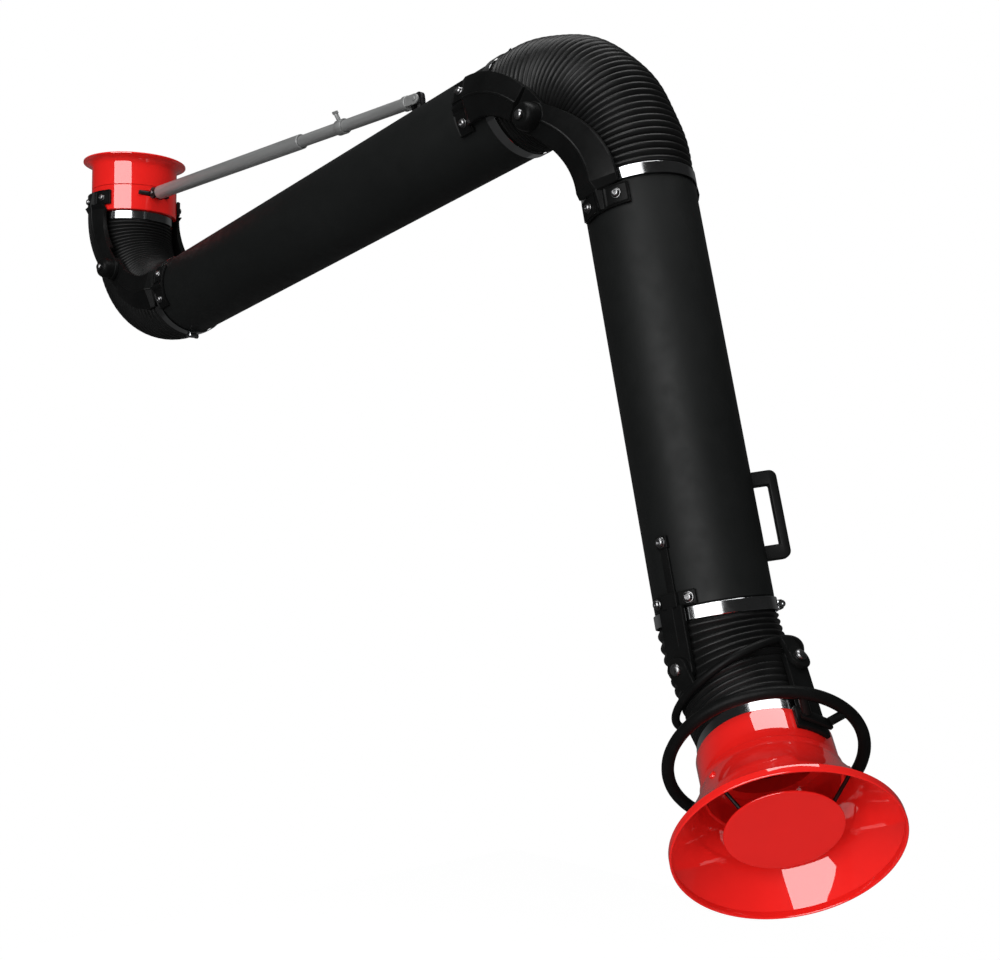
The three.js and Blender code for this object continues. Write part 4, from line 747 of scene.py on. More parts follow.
class FUMEARM_OT_hoses(bpy.types.Operator):
    """Builds the ribbed hoses at the base, the elbow and the hood"""

    bl_idname = "fume_arm.hoses"
    bl_label = "Hoses"

    def execute(self, context):
        sizes = context.scene.fume_arm_sizes
        down = Vector((0, 0, -1))
        ahead = Vector((1, 0, 0))
        base_end = LOWER_DUCT @ Vector((LOWER_FROM - FIT, 0, 0))
        base_start = Vector((0, 0, -COLLAR_BOTTOM - FIT))
        base = ribbed_hose(
            "base_hose_finished",
            hose_path(base_start, down, base_end, LOWER.to_3x3() @ ahead, 1.04), sizes.base_ribs, sizes)
        coated(base, "base_hose")
        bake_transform(base)
        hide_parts("base_hose")

        elbow_start = LOWER_DUCT @ Vector((LOWER_TO + FIT, 0, 0))
        elbow_end = FOREARM_DUCT @ Vector((FOREARM_FROM - FIT, 0, 0))
        lower_way = LOWER.to_3x3() @ ahead
        forearm_way = FOREARM.to_3x3() @ down
        elbow = ribbed_hose(
            "elbow_hose_finished",
            hose_path(elbow_start, lower_way, elbow_end, forearm_way, 1.13), sizes.elbow_ribs, sizes, 1.6 * MM)
        coated(elbow, "elbow_hose")
        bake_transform(elbow)
        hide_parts("elbow_hose")

        hood_start = FOREARM_DUCT @ Vector((FOREARM_TO + FIT, 0, 0))
        hood_end = HOOD @ Vector((0, 0, FIT - NECK_TOP))
        hood_way = HOOD.to_3x3() @ down
        hose = ribbed_hose(
            "hood_hose_upper_finished", hose_path(hood_start, forearm_way, hood_end, hood_way, 1.0), sizes.hood_ribs, sizes)
        middle = (hood_start + hood_end) / 2
        across = (hood_end - hood_start).normalized()
        lower_half = copied(hose, "hood_hose_lower_finished")
        for half, keep_far in ((hose, False), (lower_half, True)):
            pick(half)
            bpy.ops.object.mode_set(mode="EDIT")
            bpy.ops.mesh.select_all(action="SELECT")
            bpy.ops.mesh.bisect(
                plane_co=middle, plane_no=across, clear_inner=keep_far, clear_outer=not keep_far, use_fill=False)
            bpy.ops.object.mode_set(mode="OBJECT")
            coated(half, "hood_hose")
        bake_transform(hose)
        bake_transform(lower_half)
        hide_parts("hood_hose")
        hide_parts("hood_hose")
        return {"FINISHED"}


class FUMEARM_OT_clamps(bpy.types.Operator):
    """Builds one worm drive clamp and sets a copy on each hose end"""

    bl_idname = "fume_arm.clamps"
    bl_label = "Clamps"

    def execute(self, context):
        bore, outer, half = 81.4 * MM, 82.6 * MM, 8.5 * MM
        band = spun("clamp band", [
            (bore, -half),
            (outer - 0.3 * MM, -half),
            (outer, -half + 0.5 * MM),
            (outer, half - 0.5 * MM),
            (outer - 0.3 * MM, half),
            (bore, half),
        ], 96)
        band = placed(band, ALONG_X)
        top = outer + 10 * MM
        housing = slab("clamp housing", (-6.5 * MM, -8.5 * MM, bore), (6.5 * MM, 8.5 * MM, top - 2 * MM))
        softened(housing, 2.2 * MM, 3)
        screw = spun("clamp screw", [
            (0, -13 * MM),
            (3.4 * MM, -13 * MM),
            (3.4 * MM, 7 * MM),
            (5 * MM, 7 * MM),
            (5 * MM, 12 * MM),
            (4.2 * MM, 13 * MM),
            (1.2 * MM, 13 * MM),
            (1.2 * MM, 11 * MM),
            (0, 11 * MM),
        ], 24)
        screw = placed(screw, shift(z=top - 5 * MM) @ NEARWARD)
        clamp = smoothed(joined("clamp", band, housing, screw), 25)
        upright = turn(QUARTER, "Y")
        seats = {
            "base_clamp_upper": turn(math.pi, "Z") @ shift(z=-COLLAR_BOTTOM - CUFF / 2) @ upright,
            "base_clamp_lower": LOWER_DUCT @ shift(x=138.9 * MM) @ turn(math.pi, "X"),
            "elbow_clamp_lower": LOWER_DUCT @ shift(x=LOWER_SPAN - 111 * MM),
            "elbow_clamp_upper": FOREARM_DUCT @ shift(x=134.6 * MM) @ turn(math.pi, "X"),
            "hood_clamp_upper": FOREARM_DUCT @ shift(x=FOREARM_SPAN - 69 * MM) @ turn(math.radians(-50), "X"),
            "hood_clamp_lower": HOOD @ shift(z=-NECK_TOP + CUFF / 2) @ upright @ turn(-QUARTER, "X"),
        }
        for node, seat in seats.items():
            dressed(placed(copied(clamp, f"{node}_finished"), seat), node)
        bpy.data.objects.remove(clamp)
        return {"FINISHED"}


def arm_sections(inside, foot_top, seat):
    """Ridged sections of a hinge arm with a fine bead on the ridge, from the foot to the pivot"""
    stations = []

    def add(place, along, half, inner, edge, ridge, bead=1.7 * MM):
        side = Vector((-along.y, along.x))
        ring = []
        for out, across in (
            (inner, half), (edge, half), (ridge, 2.4 * MM), (ridge + bead, 1.1 * MM),
            (ridge + bead, -1.1 * MM), (ridge, -2.4 * MM), (edge, -half), (inner, -half),
        ):
            ring.append(Vector((place.x + across * side.x, -out, place.y + across * side.y)))
        stations.append(ring)

    back = Vector((-1, 0))
    for reach, half, rise in (
        (HINGE_REACH + 15 * MM, 5.5 * MM, 1.5 * MM),
        (HINGE_REACH - 12.6 * MM, 6.5 * MM, 6 * MM),
        (HINGE_REACH - 14.6 * MM, 37 * MM, 6 * MM),
    ):
        add(Vector((reach, PIVOT_OFFSET)), back, half, max(seat + FIT, ARM_INNER), foot_top + FIT, foot_top + rise)
    a = Vector((ARM_BEND_FROM, PIVOT_OFFSET))
    b = Vector((ARM_BEND_FROM * 0.68, PIVOT_OFFSET))
    c = Vector((ARM_BEND_FROM * 0.32, PIVOT_OFFSET * 0.68))
    steps = 18
    lapped = False
    for i in range(steps + 1):
        t = i / steps
        place = a * (1 - t) ** 3 + 3 * b * t * (1 - t) ** 2 + 3 * c * t * t * (1 - t)
        along = (3 * (b - a) * (1 - t) ** 2 + 6 * (c - b) * t * (1 - t) - 3 * c * t * t).normalized()
        half = (38 + (23 - 38) * t) * MM
        edge = (90 + 10 * t) * MM
        inner, ridge, bead = ARM_INNER, ARM_OUTER, 1.7 * MM
        if place.length < LAP_RADIUS:
            if inside:
                edge = ridge = LAP_PLANE - LAP_GAP
                bead = 0.0
            else:
                inner = LAP_PLANE + LAP_GAP
                edge = max(edge, inner + 3 * MM)
            if not lapped:
                lapped = True
                add(place - along * 0.4 * MM, along, half, ARM_INNER, (90 + 10 * t) * MM, ARM_OUTER)
        add(place, along, half, inner, edge, ridge, bead)
    return stations


def bolt_pad(name, floor, low, high, half_angle):
    """A square pad with a raised rim, facing the near side of a duct along X"""
    rim = floor + 1.9 * MM
    pad = patch(name, floor - 2 * MM, rim, low, high, half_angle, 6)
    pick(pad)
    bpy.ops.object.mode_set(mode="EDIT")
    bpy.ops.mesh.select_all(action="DESELECT")
    mesh = bmesh.from_edit_mesh(pad.data)
    for face in mesh.faces:
        middle = face.calc_center_median()
        outward = Vector((0, middle.y, middle.z)).normalized()
        face.select_set(face.normal.dot(outward) > 0.9)
    bmesh.update_edit_mesh(pad.data)
    bpy.ops.mesh.inset(thickness=2.4 * MM, depth=-1.9 * MM)
    bpy.ops.object.mode_set(mode="OBJECT")
    return softened(pad, 0.5 * MM, 2, 50)


def hinge_arm(name, inside, wall, edge):
    """A ridged band from a bolted foot to the pivot's eye; outer arms carry the knob"""
    saddle = wall + FIT
    foot_top = saddle + FOOT_THICKNESS
    band = lofted(f"{name} band", arm_sections(inside, foot_top, saddle))
    softened(band, edge, 2, 50)
    pieces = [band]
    foot = patch(
        f"{name} foot", saddle, foot_top, HINGE_REACH - 14.5 * MM, HINGE_REACH + 16.5 * MM, math.radians(30.5))
    softened(foot, edge, 2, 50)
    pieces.append(placed(foot, shift(z=PIVOT_OFFSET)))
    for side in (-1, 1):
        pad = bolt_pad(f"{name} pad", foot_top, HINGE_REACH - 13 * MM, HINGE_REACH + 15 * MM, math.radians(11.6))
        pieces.append(placed(pad, shift(z=PIVOT_OFFSET) @ turn(side * BOLT_ANGLE, "X")))
    low = ARM_INNER if inside else LAP_PLANE + LAP_GAP
    high = LAP_PLANE - LAP_GAP if inside else ARM_OUTER
    round_edge = 2 * MM
    eye = spun(f"{name} eye", [
        (5.4 * MM, low),
        (24 * MM, low),
        *arc((24 * MM - round_edge, high - round_edge), round_edge, 0, 90, 4),
        (5.4 * MM, high),
    ], 48)
    pieces.append(placed(eye, NEARWARD))
    if not inside:
        knob = spun(f"{name} knob", [
            (5.4 * MM, ARM_OUTER - 2 * MM),
            (21 * MM, ARM_OUTER - 2 * MM),
            (21 * MM, 111 * MM),
            *[(13 * MM + 8 * MM * math.cos(QUARTER * i / 8), (111 + 13 * math.sin(QUARTER * i / 8)) * MM)
              for i in range(1, 9)],
            (5.4 * MM, 124 * MM),
        ], 48)
        pieces.append(placed(knob, NEARWARD))
    return joined(name, *pieces)


class FUMEARM_OT_hinge_arms(bpy.types.Operator):
    """Builds the ridged arms of the base and elbow hinges"""

    bl_idname = "fume_arm.hinge_arms"
    bl_label = "Hinge Arms"

    def execute(self, context):
        edge = context.scene.fume_arm_sizes.edge
        for node, inside, wall, hinge in (
            ("collar_arm", False, COLLAR_RADIUS, "collar"),
            ("base_arm", True, DUCT_RADIUS, "base"),
            ("elbow_arm", True, DUCT_RADIUS, "elbow"),
            ("forearm_arm", False, DUCT_RADIUS, "forearm"),
        ):
            dressed_pair(placed(hinge_arm(node, inside, wall, edge), HINGES[hinge]), node, 22)
        return {"FINISHED"}


def dome_bolt(name, seat, tip):
    """A washer and a domed head with a hex socket, standing along Z"""
    socket = 2.6 * MM
    return spun(name, [
        (0, tip),
        (4 * MM, tip),
        (4 * MM, seat),
        (7.2 * MM, seat),
        (7.4 * MM, seat + 0.5 * MM),
        (7 * MM, seat + 1 * MM),
        (6.4 * MM, seat + 1.1 * MM),
        *[((2.9 + 3.5 * math.cos(QUARTER * i / 6)) * MM, seat + (1.3 + 4.2 * math.sin(QUARTER * i / 6)) * MM)
          for i in range(7)],
        (socket, seat + 5.4 * MM),
        (socket, seat + 3.2 * MM),
        (0, seat + 3.2 * MM),
    ], 30)


def bolt_row(name, wall, bore, thickness):
    """Two radial bolts through a foot, tied by a nut strip inside the duct"""
    seat = wall + FIT + thickness + FIT
    strip = bore - FIT
    pieces = []
    for side in (-1, 1):
        bolt = dome_bolt(f"{name} bolt", seat, strip - 1.5 * MM)
        pieces.append(placed(bolt, turn(QUARTER - side * BOLT_ANGLE, "X")))
    pieces.append(patch(f"{name} strip", strip - 3 * MM, strip, -8 * MM, 8 * MM, BOLT_ANGLE + math.radians(6)))
    return joined(name, *pieces)


class FUMEARM_OT_bolts(bpy.types.Operator):
    """Builds the foot bolts of the hinge arms and the hood brackets"""

    bl_idname = "fume_arm.bolts"
    bl_label = "Bolts"

    def execute(self, context):
        at_foot = shift(HINGE_REACH, 0, PIVOT_OFFSET)
        for node, wall, bore, hinge in (
            ("collar_bolts", COLLAR_RADIUS, COLLAR_RADIUS - COLLAR_WALL, "collar"),
            ("base_bolts", DUCT_RADIUS, DUCT_RADIUS - DUCT_WALL, "base"),
            ("elbow_bolts", DUCT_RADIUS, DUCT_RADIUS - DUCT_WALL, "elbow"),
            ("forearm_bolts", DUCT_RADIUS, DUCT_RADIUS - DUCT_WALL, "forearm"),
        ):
            row = bolt_row(node, wall, bore, FOOT_THICKNESS)
            dressed_pair(placed(row, HINGES[hinge] @ at_foot), node)
        row = bolt_row("hood_bracket_bolts", DUCT_RADIUS, DUCT_RADIUS - DUCT_WALL, FOOT_THICKNESS)
        row = placed(row, shift(x=HOOD_FOOT))
        strip = DUCT_RADIUS - DUCT_WALL - FIT
        single = dome_bolt("tail bolt", DUCT_RADIUS + 2 * FIT + FOOT_THICKNESS, strip - 1.5 * MM)
        single = placed(single, shift(x=TAIL_FOOT) @ NEARWARD)
        tail = patch("tail strip", strip - 3 * MM, strip, TAIL_FOOT - 8 * MM, HOOD_FOOT, math.radians(5.9))
        dressed_pair(placed(joined("hood_bracket_bolts", row, single, tail), FOREARM_DUCT), "hood_bracket_bolts")
        return {"FINISHED"}


def pivot_pin(name, nut, head, radius, nut_radius):
    """A pin with a domed head, standing along Z"""
    return spun(name, [
        (0, nut - 1.8 * MM),
        (nut_radius, nut - 1.8 * MM),
        (nut_radius, nut),
        (5 * MM, nut),
        (5 * MM, head),
        (radius, head),
        (radius, head + 2 * MM),
        *[(radius * 0.35 + radius * 0.65 * math.cos(QUARTER * i / 6), head + (2 + 3.6 * math.sin(QUARTER * i / 6)) * MM)
          for i in range(1, 7)],
        (0, head + 5.6 * MM),
    ], 30)


class FUMEARM_OT_pivots(bpy.types.Operator):
    """Builds the pivot pins of the hinges and the gimbal"""

    bl_idname = "fume_arm.pivots"
    bl_label = "Pivots"

    def execute(self, context):
        for node, hinge in (("base_pivot", "base"), ("elbow_pivot", "elbow")):
            pin = pivot_pin(node, ARM_INNER - FIT, 124.4 * MM, 7.5 * MM, 11 * MM)
            dressed_pair(placed(pin, HINGES[hinge] @ NEARWARD), node)
        tilt = pivot_pin("tilt_pivot", ARM_INNER - FIT, 99.6 * MM, 8 * MM, 8 * MM)
        dressed_pair(placed(tilt, GIMBAL @ NEARWARD), "tilt_pivot")
        for node, way in (("side_pivot_front", QUARTER), ("side_pivot_back", -QUARTER)):
            pin = pivot_pin(f"{node}_finished", PLATE_INNER - FIT, 102.2 * MM, 8 * MM, 8 * MM)
            placed(pin, GIMBAL @ shift(z=-GIMBAL_DROP) @ turn(way, "Y"))
            dressed(smoothed(pin), node)
        return {"FINISHED"}


class FUMEARM_OT_hood(bpy.types.Operator):
    """Builds the hood's shell, its deflector plate and the stay behind it"""

    bl_idname = "fume_arm.hood"
    bl_label = "Hood"

    def execute(self, context):
        steps = context.scene.fume_arm_sizes.round_steps + 32

        def flare(offset, count=20):
            points = []
            for i in range(count + 1):
                share = i / count
                depth = FLARE_TOP + (RIM_DEPTH - LIP_HEIGHT - FLARE_TOP) * share
                radius = STEP_RADIUS + (RIM_RADIUS - STEP_RADIUS) * share - 20 * MM * share * (1 - share)
                points.append((radius - offset, -depth))
            return points

        outside = flare(0)
        inside = flare(HOOD_WALL)
        lip = HOOD_WALL / 2
        shell = spun("hood_shell_finished", [
            (SPIGOT_RADIUS, -NECK_TOP + SPIGOT_LENGTH),
            (SPIGOT_RADIUS, -NECK_TOP),
            *arc((NECK_RADIUS - 1.5 * MM, -NECK_TOP - 1.5 * MM), 1.5 * MM, 90, 0, 4),
            (NECK_RADIUS, -NECK_BOTTOM),
            (NECK_RADIUS + 0.8 * MM, -NECK_BOTTOM - 0.6 * MM),
            *arc((STEP_RADIUS - 1 * MM, -NECK_BOTTOM - 2.2 * MM), 1 * MM, 90, 0, 4),
            *outside,
            *arc((RIM_RADIUS - lip, -RIM_DEPTH + lip), lip, 0, -180, 8),
            *inside[::-1],
            (NECK_RADIUS - HOOD_WALL, -FLARE_TOP + 2 * MM),
            (NECK_RADIUS - HOOD_WALL, -NECK_TOP - HOOD_WALL),
            (SPIGOT_RADIUS - DUCT_WALL, -NECK_TOP - HOOD_WALL),
            (SPIGOT_RADIUS - DUCT_WALL, -NECK_TOP + SPIGOT_LENGTH),
        ], steps)
        rivets = []
        for k in range(3):
            rivet = spun("stay rivet", [
                (0, 0),
                (5.2 * MM, 0),
                (5 * MM, 1.6 * MM),
                (3.4 * MM, 3 * MM),
                (0, 3.4 * MM),
            ], 24)
            out = math.radians(120 * k) - QUARTER
            seat = turn(out, "Z") @ shift(95.6 * MM, 0, -152 * MM) @ turn(math.radians(65.5), "Y")
            rivets.append(placed(rivet, seat))
        hood = joined("hood_shell_finished", shell, *rivets)
        dressed(smoothed(placed(hood, HOOD), 30), "hood_shell")

        back = -DEFLECTOR_DEPTH + 1.5 * MM
        plate = spun("deflector_plate_finished", [
            (0, back - 3 * MM),
            (66 * MM, back - 3 * MM),
            *arc((DEFLECTOR_RADIUS - 1.5 * MM, back - 1.5 * MM), 1.5 * MM, -90, 90, 8),
            (0, back),
        ], steps)
        dressed(smoothed(placed(plate, HOOD), 30), "deflector_plate")

        ring = spun("stay ring", [
            (50 * MM, back + FIT),
            (64 * MM, back + FIT),
            (64 * MM, back + FIT + 2 * MM),
            (50 * MM, back + FIT + 2 * MM),
        ], 64)
        pieces = [ring]
        for k in range(3):
            way = turn(math.radians(120 * k) - QUARTER, "Z")
            start = way @ Vector((57 * MM, 0, back + 1.4 * MM))
            end = way @ Vector((94.2 * MM, 0, -158.2 * MM))
            pieces.append(bent_bar("stay rod", straight(start, end), 2.5 * MM, 4))
        stay = joined("deflector_stay_finished", *pieces)
        dressed(smoothed(placed(stay, HOOD)), "deflector_stay")
        return {"FINISHED"}


def tab(name, eye, inner, thickness, drop, foot, edge):
    """A tapered tab from an eye on the near side down to a foot on a hoop"""
    outer = inner + thickness
    disc = spun(f"{name} eye", [
        (5.4 * MM, inner),
        (eye, inner),
        *arc((eye - edge, outer - edge), edge, 0, 90, 3),
        (5.4 * MM, outer),
    ], 40)
    disc = placed(disc, NEARWARD)
    rings = []
    low, high = inner + PROUD, outer - PROUD
    for z, half in ((0.0, eye * 0.985), (-drop, foot)):
        rings.append([Vector((-half, -low, z)), Vector((half, -low, z)),
                      Vector((half, -high, z)), Vector((-half, -high, z))])
    wedge = lofted(f"{name} wedge", rings)
    softened(wedge, edge * 0.8, 2)
    return joined(name, disc, wedge)


def hoop(name, radius, bar):
    deselect()
    bpy.ops.mesh.primitive_torus_add(
        major_radius=radius, minor_radius=bar, major_segments=120, minor_segments=20)
    bpy.context.object.name = name
    return bpy.context.object


class FUMEARM_OT_gimbal(bpy.types.Operator):
    """Builds the hood brackets, the gimbal ring and the hood plates"""

    bl_idname = "fume_arm.gimbal"
    bl_label = "Gimbal"

    def execute(self, context):
        edge = context.scene.fume_arm_sizes.edge
        saddle = DUCT_RADIUS + FIT
        clear = HOOD_FOOT + 8.2 * MM
        plate = slab("bracket plate", (clear, -BRACKET_OUTER, -BRACKET_HALF), (FOREARM_SPAN, -ARM_INNER, BRACKET_HALF))
        softened(plate, edge, 2)
        rib = slab("bracket rib", (clear, -BRACKET_OUTER - 0.6 * MM, -5 * MM),
                   (FOREARM_SPAN - 26 * MM, -ARM_INNER, 5 * MM))
        softened(rib, 1.2 * MM, 2)
        foot_top = HOOD_FOOT - 10 * MM
        tongue = slab("bracket tongue", (foot_top, -BRACKET_OUTER, -13 * MM), (clear + 4 * MM, -ARM_INNER, 13 * MM))
        softened(tongue, edge, 2)
        end = spun("bracket end", [
            (5.4 * MM, ARM_INNER + PROUD),
            (BRACKET_HALF, ARM_INNER + PROUD),
            *arc((BRACKET_HALF - edge, BRACKET_OUTER + PROUD - edge), edge, 0, 90, 4),
            (5.4 * MM, BRACKET_OUTER + PROUD),
        ], 48)
        end = placed(end, shift(x=FOREARM_SPAN) @ NEARWARD)
        foot = patch("bracket foot", saddle, saddle + FOOT_THICKNESS, foot_top, HOOD_FOOT + 9 * MM, math.radians(24.5))
        softened(foot, edge, 2)
        tail = patch("bracket tail", saddle, saddle + 3.5 * MM, TAIL_FOOT, HOOD_FOOT, math.radians(4.3), 4)
        softened(tail, 0.8 * MM, 2)
        pad = patch("bracket pad", saddle, saddle + FOOT_THICKNESS, TAIL_FOOT - 8.5 * MM, TAIL_FOOT + 8.5 * MM,
                    math.radians(6.1), 6)
        softened(pad, 1.2 * MM, 2)
        bracket = joined("hood_bracket", plate, rib, tongue, end, foot, tail, pad)
        dressed_pair(placed(bracket, FOREARM_DUCT), "hood_bracket", 22)

        level = -GIMBAL_DROP / 2
        ring = placed(hoop("gimbal hoop", 95 * MM, 5.5 * MM), shift(z=level))
        ear = tab("gimbal ear", 16 * MM, 92.2 * MM, 7 * MM, -level, 11 * MM, 1.6 * MM)
        lobe = tab("gimbal lobe", 17 * MM, 94.8 * MM, 7 * MM, -level, 11 * MM, 1.6 * MM)
        to_side = shift(z=-GIMBAL_DROP) @ turn(-QUARTER, "Z") @ turn(math.pi, "X")
        lobe = placed(lobe, to_side)
        far_lobe = placed(copied(lobe, "far lobe"), turn(math.pi, "Z"))
        gimbal = joined("gimbal_ring_finished", ring, far_copy(ear, "far ear"), ear, lobe, far_lobe)
        dressed(smoothed(placed(gimbal, GIMBAL), 22), "gimbal_ring")

        for node, way in (("hood_plate_front", 0.0), ("hood_plate_back", math.pi)):
            strap = slab("plate strap", (PLATE_INNER, -18 * MM, -100 * MM), (PLATE_OUTER, 18 * MM, 0))
            softened(strap, edge, 2)
            eye = spun("plate eye", [
                (5.4 * MM, PLATE_INNER + PROUD),
                (18 * MM, PLATE_INNER + PROUD),
                *arc((18 * MM - edge, PLATE_OUTER + PROUD - edge), edge, 0, 90, 4),
                (5.4 * MM, PLATE_OUTER + PROUD),
            ], 40)
            eye = placed(eye, ALONG_X)
            pad = spun("plate foot", [
                (PLATE_INNER, -116 * MM),
                (PLATE_OUTER, -116 * MM),
                (PLATE_OUTER, -84.5 * MM),
                (PLATE_INNER, -84.5 * MM),
            ], 12, math.radians(31))
            pad = placed(pad, turn(math.radians(15.5), "Z"))
            softened(pad, edge, 2)
            plate = joined(f"{node}_finished", strap, eye, pad)
            dressed(smoothed(placed(plate, HOOD @ turn(way, "Z")), 22), node)
        return {"FINISHED"}


class FUMEARM_OT_handles(bpy.types.Operator):
    """Builds the ring handle round the hood and the grip handle on the forearm"""

    bl_idname = "fume_arm.handles"
    bl_label = "Handles"

    def execute(self, context):
        edge = context.scene.fume_arm_sizes.edge
        pieces = [placed(hoop("ring hoop", 123 * MM, 8 * MM), shift(z=-92 * MM))]
        yoke_inner = PLATE_OUTER + FIT
        for way in (0.0, math.pi):
            yoke = slab("ring yoke", (yoke_inner, -23 * MM, -110 * MM), (yoke_inner + 6 * MM, 23 * MM, -96 * MM))
            softened(yoke, edge, 2)
            pieces.append(placed(yoke, turn(way, "Z")))
            for side in (-1, 1):
                angle = side * math.radians(17)
                start = Vector((yoke_inner + 6 * MM, side * 17 * MM, -103 * MM))
                end = Vector((123 * MM * math.cos(angle), 123 * MM * math.sin(angle), -92 * MM))
                spoke = bent_bar("ring spoke", straight(start, end), 5.6 * MM, 6)
                pieces.append(placed(spoke, turn(way, "Z")))
        ring = joined("ring_handle_finished", *pieces)
        dressed(smoothed(placed(ring, HOOD)), "ring_handle")

        top, bottom = 561.5 * MM, 683.5 * MM
        root, outside, corner = 76 * MM, 114 * MM, 10 * MM
        leg, bar = 20 * MM, 12.5 * MM
        outline = [
            (top, root),
            *arc((top + corner, outside - corner), corner, 180, 90, 6),
            *arc((bottom - corner, outside - corner), corner, 90, 0, 6),
            (bottom, root),
            (bottom - leg, root),
            (bottom - leg, outside - bar),
            (top + leg, outside - bar),
            (top + leg, root),
        ]
        grip = lofted("grip_handle_finished", [[Vector((x, y, z)) for x, z in outline] for y in (-8 * MM, 8 * MM)])
        softened(grip, 2.2 * MM, 3)
        saddle = DUCT_RADIUS + FIT
        carved(grip, placed(spun("duct", [(0, top - leg), (saddle, top - leg), (saddle, bottom + leg),
                                          (0, bottom + leg)]), ALONG_X))
        dressed(smoothed(placed(grip, FOREARM_DUCT @ turn(math.radians(-47), "X")), 30), "grip_handle")
        return {"FINISHED"}


class FUMEARM_OT_strut(bpy.types.Operator):
    """Builds the telescopic balance strut and its lugs"""

    bl_idname = "fume_arm.strut"
    bl_label = "Balance Strut"

    def execute(self, context):
        tube = spun("strut barrel", [
            (0, 12 * MM),
            (10 * MM, 12 * MM),
            *arc((12 * MM, 14 * MM), 2 * MM, -90, 0, 4),
            (14 * MM, STRUT_TUBE_END - 16 * MM),
            (14 * MM, STRUT_TUBE_END - 1 * MM),
            (13.2 * MM, STRUT_TUBE_END),
            (11.8 * MM, STRUT_TUBE_END),
            (11.8 * MM, 26 * MM),
            (0, 26 * MM),
        ], 48)
        tube = placed(tube, ALONG_X)
        eye = spun("strut eye", [
            (4.4 * MM, -6 * MM),
            (9 * MM, -6 * MM),
            (9 * MM, 6 * MM),
            (4.4 * MM, 6 * MM),
        ], 40)
        eye = softened(placed(eye, NEARWARD), 0.8 * MM, 2)
        neck = slab("strut neck", (5 * MM, -5.8 * MM, -8.6 * MM), (19 * MM, 5.8 * MM, 8.6 * MM))
        softened(neck, 1 * MM, 2)
        dressed(smoothed(placed(joined("strut_tube_finished", tube, eye, neck), STRUT), 30), "strut_tube")

        collar_to = STRUT_LENGTH - 24 * MM
        rod_from = STRUT_TUBE_END - 240 * MM
        rod = spun("strut rod body", [
            (0, rod_from + 60 * MM),
            (9.9 * MM, rod_from + 60 * MM),
            (9.9 * MM, rod_from),
            (11 * MM, rod_from),
            (11 * MM, collar_to - 10 * MM),
            (12.4 * MM, collar_to - 10 * MM),
            (13 * MM, collar_to - 9.2 * MM),
            (13 * MM, collar_to - 0.8 * MM),
            (12.2 * MM, collar_to),
            (0, collar_to),
        ], 48)
        pieces = [placed(rod, ALONG_X)]
        nose = [(collar_to - 2 * MM, -9 * MM), *arc((STRUT_LENGTH, 0), 9 * MM, -90, 90, 16), (collar_to - 2 * MM, 9 * MM)]
        for low, high in ((-9.5 * MM, -5.2 * MM), (5.2 * MM, 9.5 * MM)):
            cheek = lofted("strut fork", [[Vector((x, y, z)) for x, z in nose] for y in (low, high)])
            pieces.append(softened(cheek, 1 * MM, 3))
        pin = spun("strut pin", [
            (0, -11.5 * MM),
            (3.4 * MM, -11.5 * MM),
            (4 * MM, -10.9 * MM),
            (4 * MM, 10.9 * MM),
            (3.4 * MM, 11.5 * MM),
            (0, 11.5 * MM),
        ], 32)
        pieces.append(placed(pin, shift(x=STRUT_LENGTH) @ NEARWARD))
        dressed(smoothed(placed(joined("strut_rod_finished", *pieces), STRUT), 30), "strut_rod")

        start = STRUT_LENGTH - 225 * MM
        ring = spun("lock ring", [
            (11.6 * MM, start),
            (13.4 * MM, start),
            (13.8 * MM, start + 0.6 * MM),
            (13.8 * MM, start + 19.4 * MM),
            (13.4 * MM, start + 20 * MM),
            (11.6 * MM, start + 20 * MM),
        ], 40)
        ring = placed(ring, ALONG_X)
        middle = start + 10 * MM
        stem = spun("lock stem", [
            (0, 12.8 * MM),
            (4 * MM, 12.8 * MM),
            (4 * MM, 24 * MM),
            (3 * MM, 26 * MM),
            (0, 26 * MM),
        ], 24)
        stem = placed(stem, shift(x=middle))
        wing = slab("lock wing", (middle - 7.5 * MM, -1.5 * MM, 24.8 * MM), (middle + 7.5 * MM, 1.5 * MM, 30.6 * MM))
        softened(wing, 1 * MM, 2)
        lock = placed(joined("strut_lock_collar_finished", ring, stem, wing), turn(math.radians(35), "X"))
        dressed(smoothed(placed(lock, STRUT)), "strut_lock_collar")

        cheeks = []
        for side in (-1, 1):
            cheek = slab("lug cheek", (STRUT_FOOT.x - 11 * MM, -2.3 * MM, -4 * MM), (STRUT_FOOT.x, 2.3 * MM, 4 * MM))
            cheeks.append(placed(cheek, shift(y=side * 9.2 * MM)))
            disc = spun("lug disc", [
                (4.4 * MM, -2.5 * MM),
                (12 * MM, -2.5 * MM),
                (12 * MM, 2.5 * MM),
                (4.4 * MM, 2.5 * MM),
            ], 40)
            softened(disc, 0.8 * MM, 2)
            cheeks.append(placed(disc, shift(STRUT_FOOT.x, side * 9.2 * MM, 0) @ NEARWARD))
        tongue = slab("lug tongue", (77.6 * MM, -35 * MM, -4 * MM), (90 * MM, 35 * MM, 4 * MM))
        softened(tongue, 1 * MM, 2)
        lug = placed(joined("strut_lug_finished", tongue, *cheeks), shift(z=STRUT_FOOT.z))
        dressed(smoothed(lug), "strut_lug")
        lug_pin = spun("strut_lug_pin_finished", [
            (0, -14.5 * MM),
            (3.4 * MM, -14.5 * MM),
            (4 * MM, -14 * MM),
            (4 * MM, 14 * MM),
            (3.4 * MM, 14.5 * MM),
            (0, 14.5 * MM),
        ], 24)
        dressed(smoothed(placed(lug_pin, Matrix.Translation(STRUT_FOOT) @ NEARWARD)), "strut_lug_pin")

